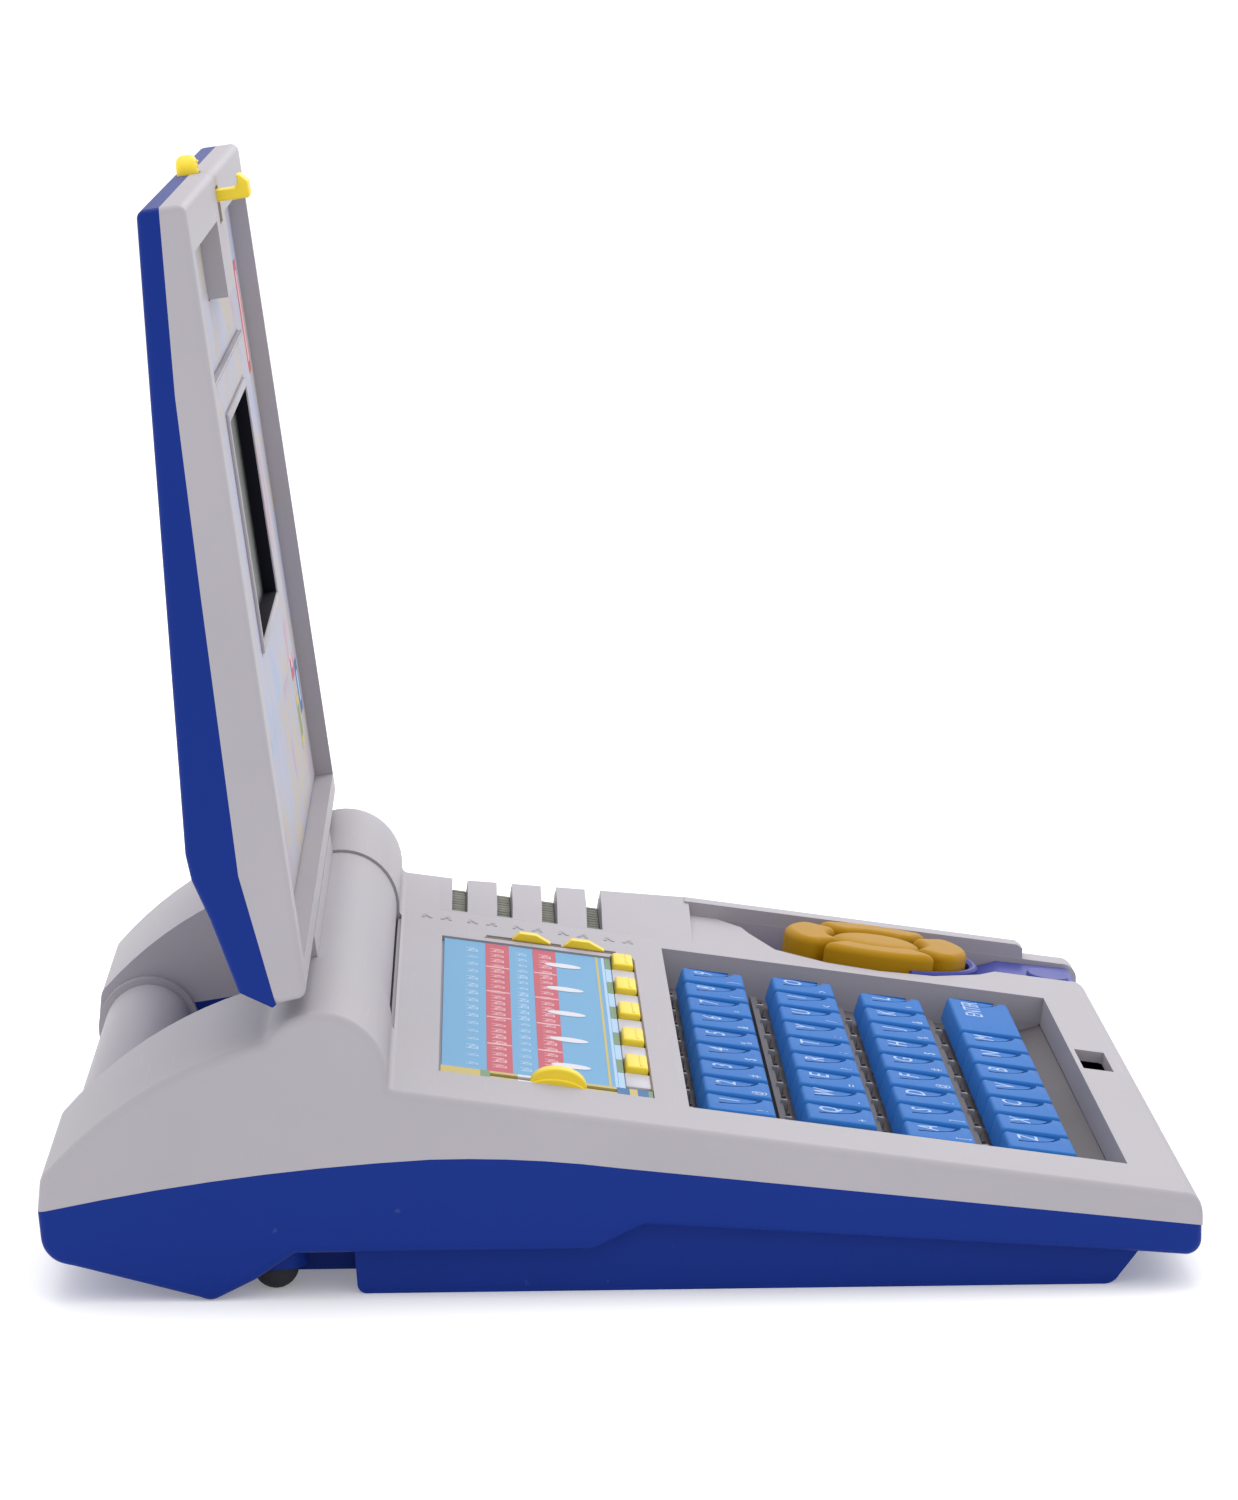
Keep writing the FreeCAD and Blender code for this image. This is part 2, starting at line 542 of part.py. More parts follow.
def make_pad():
    """Direction pad: four arcs round an oval, in its blue tray."""
    x, v = size("pad_x"), size("pad_v")
    half_x, half_v, top = size("pad_half_x"), size("pad_half_v"), size("pad_top")
    tray = deck_prism(grown(TRAY, 1.5), size("tray_floor") - 1.8, size("tray_floor"))
    sites = [(x + dx, v + dv) for dx, dv in ((-13.2, 0), (13.2, 0), (0, -16.0), (0, 16.0))]
    ports = [cylinder(2.3, 6, (px, pv, -9)) for px, pv in sites + [(x, v)]]
    node("dpad_tray", cut(tray, *ports), DECK)
    ring = cut(oval((x, v), half_x, half_v, -3.6, top), oval((x, v), 9.0, 11.2, -8, 8))
    slits = [box((-30, 30), (-0.35, 0.35), (-1.4, 8)) for _ in range(2)]
    for slit, turn in zip(slits, (51, -51)):
        middle = FreeCAD.Rotation(FreeCAD.Vector(0, 0, 1), turn)
        corner = middle.multVec(FreeCAD.Vector(-30, -0.35, 0))
        slit.Placement = FreeCAD.Placement(FreeCAD.Vector(x + corner.x, v + corner.y, -1.4), middle)
    posts = [cylinder(1.9, 5.0, (px, pv, -8.4)) for px, pv in sites]
    node("dpad_ring", fuse(cut(ring, *slits), *posts), DECK)
    button = oval((x, v), 8.4, 10.6, -3.6, top - 0.6)
    node("dpad_centre", fuse(button, cylinder(1.9, 5.0, (x, v, -8.4))), DECK)


def make_sliders():
    """Half-moon thumb pieces, each on a stem through its slot with a foot below the deck."""
    for name, (x, v, width, tall, _, base) in SLIDERS.items():
        disc = x_cylinder(width / 2, (x - 1.5, x + 1.5), v, base + tall - width / 2)
        knob = doc.addObject("Part::Common", "Knob")
        knob.Base = disc
        knob.Tool = box((x - 2, x + 2), (v - width, v + width), (base + 0.15, base + tall + 1))
        stem = box((x - 1.0, x + 1.0), (v - 2.0, v + 2.0), (-3.4, base + 0.6))
        foot = box((x - 2.6, x + 2.6), (v - 3.0, v + 3.0), (-4.2, -2.7))
        node(name, fuse(knob, stem, foot), DECK)


# Side outlines of the lid, in (t, s)
LID_SPLIT = [(5.0, 171.7), (7.4, 135.8), (8.4, 97.2), (9.5, 42.2), (6.1, 16.0)]
LID_BACK = [(7.0, 15.3), (13.0, 19.2), (16.3, 34.2), (18.7, 42.5), (19.1, 47.6), (15.2, 98.0),
            (12.2, 136.5), (9.4, 171.7)]
SURROUND = ((-78.0, 76.0), (58.0, 132.0))
SCREEN = ((-42.0, 42.0), (76.0, 122.0))
RECESS = ((-113.0, 119.4), (22.0, 162.0))


def make_lid_bezel():
    """Grey front of the lid, with the screen surround, the latch housing and the hinge barrel."""
    frame = side_prism((0, 16.5), [(0, 171.7)] + LID_SPLIT, W)
    frame = rounded(frame, 1.8, x_edge((0, 171.7), (0, 16.5)))
    frame = rounded(frame, size("lid_round"), flank_edge(lambda middle, bounds: bounds.YMax < 2.0))
    hollow = side_prism((2.0, 19.0), [(2.0, 169.4), (12.0, 169.4), (12.0, 19.0)], W - WALL)
    tub = box((RECESS[0][0] - 1.6, RECESS[0][1] + 1.4), (0, 6.2), (RECESS[1][0] - 1.6, RECESS[1][1] + 1.6))
    block = box((-18, 18), (0, 6.2), (146, 164))
    recess = box(RECESS[0], (-2, size("lid_recess")), RECESS[1], Width="$lid_recess + 2")
    surround = box(SURROUND[0], (3.0, 6.2), SURROUND[1])
    screen = box(SCREEN[0], (-2, 12), SCREEN[1])
    hook_slot = box((-5.6, 5.6), (-2, 12), (160.6, 168.4))
    tab_slot = box((-5.6, 5.6), (3.0, 8.0), (160.0, 180.0))
    half = size("barrel_length") / 2
    barrel = x_cylinder(size("barrel_radius"), (-half, half), 0, 0, Radius="$barrel_radius",
                        Height="$barrel_length")
    neck = box((-half, half), (0, 8.0), (9.0, 17.5))
    bore = x_cylinder(size("barrel_radius") - 2.2, (-half + 3, half - 3), 0, 0)
    studs = x_cylinder(size("stud_radius"), (-half - 3.4, half + 3.4), 0, 0, Radius="$stud_radius")
    walls = cut(fuse(cut(frame, hollow), tub), recess)
    face = cut(fuse(walls, block, surround), screen, hook_slot, tab_slot)
    stud_ends = cut(studs, x_cylinder(5, (-half + 1, half - 1), 0, 0))
    node("lid_front_bezel", fuse(face, cut(fuse(barrel, neck), bore), stud_ends), LID)


def make_lid_cover():
    """Blue back of the lid."""
    outer = side_prism(LID_SPLIT[-1], LID_BACK + LID_SPLIT[:-1], W)
    outer = rounded(outer, 1.8, x_edge((9.4, 171.7)))
    outer = rounded(outer, 1.5, x_edge((13.0, 19.2)))
    outer = rounded(outer, 4.0, x_edge((18.7, 42.5), (19.1, 47.6)))
    outer = rounded(outer, size("lid_round"), flank_edge(
        lambda middle, bounds: middle.y > 11 or (middle.y > 9 and middle.z > 150)))
    hollow = side_prism((0, 19.0), [(8.2, 19.4), (11.6, 21.0), (14.2, 34.6), (16.4, 42.8), (16.8, 47.6),
                                    (13.0, 97.8), (10.0, 136.3), (7.6, 169.4), (0, 169.4)], W - WALL)
    tab_slot = box((-5.6, 5.6), (3.0, 7.8), (160.0, 180.0))
    neck_gap = box((-64.2, 64.2), (-1, 8.6), (8.0, 17.9))
    node("lid_back_cover", cut(outer, hollow, tab_slot, neck_gap), LID)


def make_lid_contents():
    """Screen panel, printed sheet and the sliding latch."""
    glass = box((SCREEN[0][0] - 3, SCREEN[0][1] + 3), (6.3, 7.3), (SCREEN[1][0] - 3, SCREEN[1][1] + 3))
    raised = box((SCREEN[0][0] + 0.3, SCREEN[0][1] - 0.3), (5.4, 6.4), (SCREEN[1][0] + 0.3, SCREEN[1][1] - 0.3))
    node("lcd_panel", fuse(glass, raised), LID)
    print_sheet = box((RECESS[0][0] + 0.5, RECESS[0][1] - 0.5), (size("lid_recess") - 0.4, size("lid_recess")),
                      (RECESS[1][0] + 0.5, RECESS[1][1] - 0.5))
    gap = box((SURROUND[0][0] - 0.3, SURROUND[0][1] + 0.3), (-1, 9), (SURROUND[1][0] - 0.3, SURROUND[1][1] + 0.3))
    housing = box((-18.4, 18.4), (-1, 9), (145.6, 164))
    node("lid_decal", cut(print_sheet, gap, housing), LID)
    tab = box((-4.8, 4.8), (3.6, 7.2), (162.4, 175.8))
    tab = rounded(tab, 1.2, lambda e: e.CenterOfMass.z > 175.7 or e.BoundBox.ZLength > 5)
    shank = box((-4.8, 4.8), (-7.0, 5.0), (165.2, 167.6))
    barb = side_prism((-7.0, 166.8), [(-7.0, 168.6), (-5.2, 170.4), (-4.6, 170.4), (-4.6, 166.8)],
                      x=(-4.8, 4.8))
    node("latch", fuse(tab, shank, barb), LID)


def check_everything():
    """Stops on any object that failed, and on any sub-part with an empty or invalid shape."""
    doc.recompute()
    for thing in doc.Objects:
        if {"Invalid", "Error"} & set(thing.State):
            raise RuntimeError(f"{thing.Name} ({thing.Label}) is in state {thing.State}")
    for thing in finished:
        if thing.Shape.isNull() or not thing.Shape.isValid() or thing.Shape.Volume <= 0:
            raise RuntimeError(f"{thing.Label} has no valid shape")


def main():
    """Builds every sub-part and writes one STEP file for each."""
    make_upper_shell()
    make_lower_shell()
    make_handle_bar()
    make_base_hardware()
    make_keyboard()
    make_board_and_speaker()
    make_card_and_buttons()
    make_pad()
    make_sliders()
    make_lid_bezel()
    make_lid_cover()
    make_lid_contents()
    check_everything()
    os.makedirs("parts", exist_ok=True)
    for thing in finished:
        solids = len(thing.Shape.Solids)
        print(f"{thing.Label}: {solids} solids, {thing.Shape.Volume / 1000:.2f} cm3")
        thing.Shape.exportStep(f"parts/{thing.Label}.step")


main()
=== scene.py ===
"""Toy laptop computer: every visible piece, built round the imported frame.

Sizes in the classes are millimetres of a local frame. The deck frame (x, v, w) lies on the sloping
keyboard deck, with v to the rear and w up from it. The lid frame (x, t, s) starts on the hinge axis,
with t behind the screen face and s up the open lid. The body frame is the row frame itself.
"""
import json
import logging
import math
from dataclasses import dataclass
from enum import Enum
from typing import Any, Callable, Iterable, Mapping, Sequence, Union

import bmesh
import bpy
from mathutils import Matrix, Vector


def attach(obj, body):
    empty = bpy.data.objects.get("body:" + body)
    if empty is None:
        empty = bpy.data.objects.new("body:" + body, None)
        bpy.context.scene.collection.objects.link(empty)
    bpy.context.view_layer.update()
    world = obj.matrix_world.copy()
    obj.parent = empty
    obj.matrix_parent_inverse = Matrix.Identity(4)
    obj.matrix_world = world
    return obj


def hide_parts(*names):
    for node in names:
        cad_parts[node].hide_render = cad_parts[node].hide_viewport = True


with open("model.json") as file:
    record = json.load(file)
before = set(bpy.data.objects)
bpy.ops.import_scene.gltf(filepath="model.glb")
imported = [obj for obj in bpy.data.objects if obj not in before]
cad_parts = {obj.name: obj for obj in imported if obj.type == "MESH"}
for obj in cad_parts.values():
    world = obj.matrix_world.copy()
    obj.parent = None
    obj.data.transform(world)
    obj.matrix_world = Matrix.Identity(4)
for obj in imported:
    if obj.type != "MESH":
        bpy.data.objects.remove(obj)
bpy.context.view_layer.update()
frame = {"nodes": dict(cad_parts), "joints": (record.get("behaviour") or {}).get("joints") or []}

MM = 0.001
INK_THICK = 0.05  # how far printed letters stand proud, in millimetres
LETTER_SCALE = 1.35  # a text object's size for letters of height 1
MERGE_GAP = 2e-6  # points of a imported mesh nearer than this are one, in metres
log = logging.getLogger("toy_laptop")

Point = tuple[float, float]
Span = tuple[float, float]
Colour = tuple[int, int, int]


# ---------------------------------------------------------------------------------------------
# Local frames
# ---------------------------------------------------------------------------------------------
def joint(name: str) -> dict[str, Any]:
    """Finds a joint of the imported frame.

    Args:
        name: the joint's name.

    Returns:
        The joint's row.
    """
    return next(j for j in frame["joints"] if j["name"] == name)


def local_frame(origin: Sequence[float], turn: float) -> Matrix:
    """A frame of millimetres turned about X.

    Args:
        origin: the frame's origin in metres.
        turn: its turn about X in radians.

    Returns:
        The matrix from the frame's millimetres to the row frame's metres.
    """
    return Matrix.Translation(Vector(origin)) @ Matrix.Rotation(turn, 4, "X") @ Matrix.Scale(MM, 4)


DECK_HEIGHT = 35.17
LID_LEAN = math.radians(7.69)
_key_way = joint("key_1_press")["axis"]
DECK_TURN = math.atan2(_key_way[1], -_key_way[2])


class Place(Enum):
    """The local frames, each with its matrix."""

    BODY = "body"
    DECK = "deck"
    LID = "lid"

    @property
    def matrix(self) -> Matrix:
        """The matrix from this frame to the row frame.

        Returns:
            The matrix.
        """
        if self is Place.DECK:
            return local_frame((0, 0, DECK_HEIGHT * MM), DECK_TURN)
        if self is Place.LID:
            return local_frame(joint("lid_hinge")["pos_m"], -LID_LEAN)
        return Matrix.Scale(MM, 4)


# ---------------------------------------------------------------------------------------------
# Node graphs
# ---------------------------------------------------------------------------------------------
class Wire:
    """A node's output socket, with the operators that add Math nodes."""

    def __init__(self, graph: "Graph", socket: bpy.types.NodeSocket) -> None:
        """Wraps a socket of a graph."""
        self.graph, self.socket = graph, socket

    def maths(self, operation: str, *values: "Value") -> "Wire":
        """Adds a Math node.

        Args:
            operation: the node's operation.
            values: its inputs in order.

        Returns:
            The node's output.
        """
        return self.graph.add("ShaderNodeMath", {"operation": operation}, dict(enumerate(values)))

    def __add__(self, other: "Value") -> "Wire":
        """self + other."""
        return self.maths("ADD", self, other)

    __radd__ = __add__

    def __sub__(self, other: "Value") -> "Wire":
        """self - other."""
        return self.maths("SUBTRACT", self, other)

    def __rsub__(self, other: "Value") -> "Wire":
        """other - self."""
        return self.maths("SUBTRACT", other, self)

    def __mul__(self, other: "Value") -> "Wire":
        """self * other."""
        return self.maths("MULTIPLY", self, other)

    __rmul__ = __mul__

    def __gt__(self, other: "Value") -> "Wire":
        """1 where self is above other."""
        return self.maths("GREATER_THAN", self, other)

    def power(self, exponent: float) -> "Wire":
        """self to a power."""
        return self.maths("POWER", self, exponent)


Value = Union[Wire, float, int, Sequence[float], Any]


class Graph:
    """A node tree under construction."""

    def __init__(self, tree: bpy.types.NodeTree) -> None:
        """Starts on an empty or existing tree."""
        self.tree = tree

    def add(self, kind: str, settings: Mapping[str, Any] | None = None,
            inputs: Mapping[Any, Value] | None = None, output: Any = 0) -> Wire:
        """Adds a node: its settings first, and then its sockets.

        Args:
            kind: the node's type.
            settings: its properties; "stops" is a ramp's list of (position, colour).
            inputs: values or wires by socket name or number.
            output: the name or number of the output that is returned.

        Returns:
            That output.
        """
        node = self.tree.nodes.new(kind)
        for name, value in (settings or {}).items():
            if name == "stops":
                ramp = node.color_ramp
                while len(ramp.elements) < len(value):
                    ramp.elements.new(0.5)
                for element, (position, colour) in zip(ramp.elements, value):
                    element.position, element.color = position, colour
            else:
                setattr(node, name, value)
        for name, value in (inputs or {}).items():
            if isinstance(value, Wire):
                self.tree.links.new(value.socket, node.inputs[name])
            else:
                node.inputs[name].default_value = value
        outputs = node.outputs
        return Wire(self, outputs[output]) if len(outputs) else Wire(self, None)

    def mix(self, factor: Value, first: Value, second: Value) -> Wire:
        """Mixes two colours.

        Args:
            factor: 0 for the first colour, 1 for the second.
            first: a colour.
            second: a colour.

        Returns:
            The mixed colour.
        """
        return self.add("ShaderNodeMix", {"data_type": "RGBA"}, {0: factor, 6: first, 7: second}, 2)


def linear(colour: Colour) -> tuple[float, float, float, float]:
    """A screen colour as a linear one.

    Args:
        colour: red, green and blue from 0 to 255.

    Returns:
        Linear red, green, blue and an alpha of 1.
    """
    parts = [c / 255 for c in colour]
    red, green, blue = [c / 12.92 if c <= 0.04045 else ((c + 0.055) / 1.055) ** 2.4 for c in parts]
    return red, green, blue, 1.0


class Grain(Enum):
    """How a surface came out of its mould: noise scale per metre and bump strength."""

    FINE = (2600.0, 0.10)
    SATIN = (1500.0, 0.16)
    POLISHED = (900.0, 0.03)
    PAPER = (3800.0, 0.06)


class Surface:
    """The nodes that all finishes share: noise, scratches, grain and the final shader."""

    def __init__(self, name: str) -> None:
        """Starts a material with an empty tree.

        Args:
            name: the material's name.
        """
        self.material = bpy.data.materials.new(name)
        self.material.use_nodes = True
        self.material.node_tree.nodes.clear()
        self.graph = Graph(self.material.node_tree)
        self.spot = self.graph.add("ShaderNodeTexCoord", output="Object")

    def noise(self, scale: float, detail: float = 3.0, stretch: Sequence[float] = (1, 1, 1),
              turn: Sequence[float] = (0, 0, 0)) -> Wire:
        """A noise pattern on object coordinates.

        Args:
            scale: features per metre.
            detail: octaves.
            stretch: scale of each axis.
            turn: the pattern's turn in radians.

        Returns:
            The pattern, from 0 to 1.
        """
        where = self.graph.add("ShaderNodeMapping", {}, {"Vector": self.spot, "Scale": stretch,
                                                        "Rotation": turn})
        return self.graph.add("ShaderNodeTexNoise", {},
                              {"Vector": where, "Scale": scale, "Detail": detail, "Roughness": 0.55})

    def scratches(self) -> Wire:
        """Sparse fine scratches in two directions, from 0 to 1.

        Returns:
            The mask.
        """
        one = self.noise(45.0, 2.0, (1, 22, 22), (0.3, 0.2, 0.5)) > 0.69
        two = self.noise(38.0, 2.0, (20, 1.4, 20), (0.1, 0.6, -0.4)) > 0.70
        return one + two

    def bump(self, height: Wire, strength: float, reach: float = 0.00012) -> Wire:
        """A normal from a height pattern."""
        return self.graph.add("ShaderNodeBump", {}, {"Height": height, "Strength": strength,
                                                     "Distance": reach})

    def close(self, **sockets: Value) -> bpy.types.Material:
        """Adds the shader and the output.

        Args:
            sockets: the shader's sockets, with underscores for spaces.

        Returns:
            The finished material.
        """
        inputs = {name.replace("_", " "): value for name, value in sockets.items()}
        shader = self.graph.add("ShaderNodeBsdfPrincipled", {}, inputs)
        self.graph.add("ShaderNodeOutputMaterial", {}, {"Surface": shader})
        return self.material


_made: dict[str, bpy.types.Material] = {}


@dataclass(frozen=True)
class Finish:
    """What every finish has: a name and a colour."""

    name: str
    colour: Colour

    def build(self) -> bpy.types.Material:
        """Makes the material."""
        raise NotImplementedError

    @property
    def material(self) -> bpy.types.Material:
        """The finish's material, made once.

        Returns:
            The material.
        """
        if self.name not in _made:
            _made[self.name] = self.build()
        return _made[self.name]


@dataclass(frozen=True)
class Plastic(Finish):
    """Moulded plastic with grain, faint mottling, dust and a few scratches."""

    roughness: float = 0.45
    specular: float = 0.25
    grain: Grain = Grain.SATIN
    mottle: float = 0.05
    coat: float = 0.0

    def build(self) -> bpy.types.Material:
        """Makes the material.

        Returns:
            The material.
        """
        s = Surface(self.name)
        base = linear(self.colour)
        dark = tuple(c * (1 - 2.2 * self.mottle) for c in base[:3]) + (1.0,)
        light = tuple(min(1.0, c * (1 + 1.4 * self.mottle)) for c in base[:3]) + (1.0,)
        cloud = s.noise(16.0, 4.0)
        speck = s.noise(900.0, 2.0)
        colour = s.graph.mix(cloud, dark, light)
        dust = (s.noise(260.0, 5.0) > 0.74) * 0.10
        pale = tuple(min(1.0, 0.75 * c + 0.22) for c in base[:3]) + (1.0,)
        colour = s.graph.mix(dust, colour, pale)
        scratch = s.scratches()
        rough = self.roughness + (cloud - 0.5) * 0.10 + (speck - 0.5) * 0.06 - scratch * 0.05
        scale, strength = self.grain.value
        height = s.noise(scale, 2.0) + scratch * 0.25
        sockets: dict[str, Value] = {
            "Base_Color": colour, "Roughness": rough, "Specular_IOR_Level": self.specular,
            "Normal": s.bump(height, strength), "Coat_Weight": self.coat, "Coat_Roughness": 0.18}
        return s.close(**sockets)


@dataclass(frozen=True)
class Rubber(Finish):
    """Dull elastomer with a powdery bloom."""

    def build(self) -> bpy.types.Material:
        """Makes the material.

        Returns:
            The material.
        """
        s = Surface(self.name)
        base = linear(self.colour)
        bloom = tuple(min(1.0, c * 1.6 + 0.02) for c in base[:3]) + (1.0,)
        powder = s.noise(140.0, 6.0).power(2.0)
        return s.close(Base_Color=s.graph.mix(powder, base, bloom), Roughness=0.72 + powder * 0.2,
                       Specular_IOR_Level=0.3, Normal=s.bump(s.noise(1900.0), 0.3))


@dataclass(frozen=True)
class Metal(Finish):
    """Plated steel with turning lines and dull spots."""

    roughness: float = 0.32

    def build(self) -> bpy.types.Material:
        """Makes the material.

        Returns:
            The material.
        """
        s = Surface(self.name)
        base = linear(self.colour)
        dull = tuple(c * 0.6 for c in base[:3]) + (1.0,)
        spots = s.noise(420.0, 4.0).power(3.0)
        lines = s.noise(700.0, 1.0, (1, 1, 14))
        return s.close(Base_Color=s.graph.mix(spots, base, dull), Metallic=1.0,
                       Roughness=self.roughness + spots * 0.4 + (lines - 0.5) * 0.12,
                       Normal=s.bump(lines, 0.12))


@dataclass(frozen=True)
class Print(Finish):
    """Ink on smooth card or foil: a fine dot screen, uneven ink and a soft varnish."""

    varnish: float = 0.03

    def build(self) -> bpy.types.Material:
        """Makes the material.

        Returns:
            The material.
        """
        s = Surface(self.name)
        base = linear(self.colour)
        thin = tuple(min(1.0, c * 1.06 + 0.02) for c in base[:3]) + (1.0,)
        dots = s.graph.add("ShaderNodeTexVoronoi", {"feature": "F1"},
                           {"Vector": s.spot, "Scale": 1500.0}, "Distance")
        ink = s.noise(60.0, 4.0) * 0.6 + dots * 0.4
        return s.close(Base_Color=s.graph.mix(ink, base, thin), Roughness=0.50 + ink * 0.12,
                       Specular_IOR_Level=0.06, Coat_Weight=self.varnish, Coat_Roughness=0.2,
                       Normal=s.bump(s.noise(Grain.PAPER.value[0]), Grain.PAPER.value[1]))


@dataclass(frozen=True)
class PastelPrint(Finish):
    """The lid's printed sheet: soft washes of pink, yellow, lilac and sky over a pale ground."""

    def build(self) -> bpy.types.Material:
        """Makes the material.

        Returns:
            The material.
        """
        s = Surface(self.name)
        plain = linear(self.colour)
        stops = [(0.30, linear((136, 158, 192))), (0.43, plain), (0.50, plain),
                 (0.57, linear((176, 164, 146))), (0.62, plain), (0.70, linear((178, 138, 156)))]
        wash = s.noise(34.0, 3.0)
        washes = s.graph.add("ShaderNodeValToRGB", {"stops": stops}, {"Fac": wash})
        lines = s.graph.add("ShaderNodeTexVoronoi", {"feature": "DISTANCE_TO_EDGE"},
                            {"Vector": s.spot, "Scale": 46.0}, "Distance")
        sketch = (1 - (lines > 0.014)) * (s.noise(17.0, 2.0, turn=(0.4, 0.1, 0.9)) > 0.6) * 0.14
        colour = s.graph.mix(sketch, washes, linear((92, 94, 122)))
        return s.close(Base_Color=colour, Roughness=0.45 + wash * 0.1, Specular_IOR_Level=0.1,
                       Coat_Weight=0.05, Coat_Roughness=0.2,
                       Normal=s.bump(s.noise(Grain.PAPER.value[0]), Grain.PAPER.value[1]))


@dataclass(frozen=True)
class ScreenGlass(Finish):
    """The dark display: a fine dot matrix behind a clear glossy front."""

    def build(self) -> bpy.types.Material:
        """Makes the material.

        Returns:
            The material.
        """
        s = Surface(self.name)
        base = linear(self.colour)
        lit = tuple(c * 1.5 for c in base[:3]) + (1.0,)
        dots = s.graph.add("ShaderNodeTexVoronoi", {"feature": "F1", "distance": "CHEBYCHEV"},
                           {"Vector": s.spot, "Scale": 900.0, "Randomness": 0.0}, "Distance")
        smear = s.noise(30.0, 4.0)
        return s.close(Base_Color=s.graph.mix(dots, base, lit), Roughness=0.30 + smear * 0.15,
                       Specular_IOR_Level=0.12, Coat_Weight=0.06, Coat_Roughness=0.1)


@dataclass(frozen=True)
class Backdrop(Finish):
    """The studio floor: matt white with a little light of its own."""

    glow: float = 0.22

    def build(self) -> bpy.types.Material:
        """Makes the material.

        Returns:
            The material.
        """
        s = Surface(self.name)
        return s.close(Base_Color=linear(self.colour), Roughness=0.9, Specular_IOR_Level=0.0,
                       Emission_Color=linear(self.colour), Emission_Strength=self.glow)


class Look:
    """The finishes of this toy."""

    shell_grey = Plastic("shell grey plastic", (168, 164, 171), 0.48, 0.14)
    shell_blue = Plastic("shell blue plastic", (18, 45, 126), 0.42, 0.08, mottle=0.04)
    key_blue = Plastic("key blue plastic", (48, 110, 184), 0.5, 0.04, Grain.FINE, 0.03)
    # near-black blue for the floor of the groove on each cap: painted shade
    key_groove_painted_shade = Plastic("key groove painted shade", (14, 34, 92), 0.6, 0.05, Grain.FINE, 0.03)
    yellow = Plastic("button yellow plastic", (240, 212, 62), 0.40, 0.15, Grain.FINE, 0.05)
    gold = Plastic("pad gold plastic", (170, 126, 8), 0.50, 0.12, Grain.SATIN, 0.08)
    violet = Plastic("tray violet plastic", (64, 70, 150), 0.40, 0.12, Grain.FINE)
    plate = Plastic("plate grey plastic", (104, 100, 104), 0.6, 0.1, Grain.SATIN, 0.16)
    fin = Plastic("fin pale plastic", (150, 146, 148), 0.55, 0.1, Grain.FINE)
    # near-black, painted shadow: blocks in the gaps between the key rows, and the lining of the screen
    # opening
    dark = Plastic("shadow plastic", (24, 24, 32), 0.8, 0.05, Grain.FINE)
    grille = Plastic("grille olive plastic", (128, 130, 120), 0.6, 0.1, Grain.SATIN, 0.2)
    pearl = Plastic("spacer pearl plastic", (182, 180, 190), 0.4, 0.2, Grain.POLISHED)
    # a little darker than the shell grey: painted shade on the raised arrow marks
    mark = Plastic("mark shade plastic", (158, 154, 162), 0.5, 0.1, Grain.FINE)
    paint = Plastic("legend white ink", (172, 194, 226), 0.5, 0.05, Grain.POLISHED, 0.02)
    sky = Print("card sky ink", (106, 157, 195))
    coral = Print("card coral ink", (182, 86, 100))
    white = Print("card white ink", (206, 207, 216))
    haze = Print("card haze ink", (164, 192, 218))
    blush = Print("card blush ink", (210, 166, 174))
    straw = Print("card straw ink", (186, 170, 104))
    ochre = Print("card ochre ink", (134, 114, 84))
    ocean = Print("card ocean ink", (60, 106, 152))
    mint = Print("card mint ink", (116, 142, 112))
    pastel = PastelPrint("lid pastel print", (162, 163, 182))
    glass = ScreenGlass("screen glass", (34, 38, 36))
    rubber = Rubber("foot rubber", (34, 34, 38))
    membrane = Rubber("membrane rubber", (120, 120, 120))
    steel = Metal("screw steel", (176, 176, 182))
    spring = Metal("spring steel", (196, 190, 176), 0.25)
    board = Plastic("board green resin", (26, 84, 48), 0.35, 0.4, Grain.POLISHED, 0.15, 0.4)
    cone = Rubber("speaker cone paper", (28, 28, 30))
    jacket = Plastic("cell jacket foil", (40, 96, 70), 0.3, 0.4, Grain.POLISHED, 0.05, 0.3)


# ---------------------------------------------------------------------------------------------
# Meshes
# ---------------------------------------------------------------------------------------------
def evaluated(obj: bpy.types.Object) -> bpy.types.Mesh:
    """A new mesh of an object with its modifiers applied."""
    bpy.context.view_layer.update()
    return bpy.data.meshes.new_from_object(obj.evaluated_get(bpy.context.evaluated_depsgraph_get()))


def settle(data: bpy.types.Mesh, name: str, body: str, replaces: Sequence[str],
           angle: float) -> bpy.types.Object:
    """Args:
        data: the mesh, in the row frame's metres.
        name: the piece's name.
        body: the body that it rides on.
        replaces: the nodes that it stands for.
        angle: edges above this angle, in degrees, stay sharp.

    Returns:
        The piece, at the origin.
    """
    data.name = name
    obj = bpy.data.objects.new(name, data)
    bpy.context.scene.collection.objects.link(obj)
    data.polygons.foreach_set("use_smooth", [True] * len(data.polygons))
    data.set_sharp_from_angle(angle=math.radians(angle))
    if replaces:
        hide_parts(*replaces)
    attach(obj, body)
    log.info("%s: %d faces on %s", obj.name, len(data.polygons), body)
    return obj


def sweep(start: float, end: float, steps: int) -> list[float]:
    """Angles in radians, from one of so many degrees to another in equal steps."""
    return [math.radians(start + (end - start) * i / steps) for i in range(steps + 1)]


def oval(x: float, y: float, half_x: float, half_y: float, sides: int) -> list[Point]:
    """The points of an ellipse.

    Args:
        x: its middle's x.
        y: its middle's y.
        half_x: half its width.
        half_y: half its length.
        sides: the number of its points.

    Returns:
        Its points, anticlockwise.
    """
    return [(x + half_x * math.cos(a), y + half_y * math.sin(a)) for a in sweep(0, 360, sides)[:-1]]


def at_height(outline: Iterable[Point], height: float) -> list[tuple[float, float, float]]:
    """An outline's points at one height."""
    return [(x, y, height) for x, y in outline]


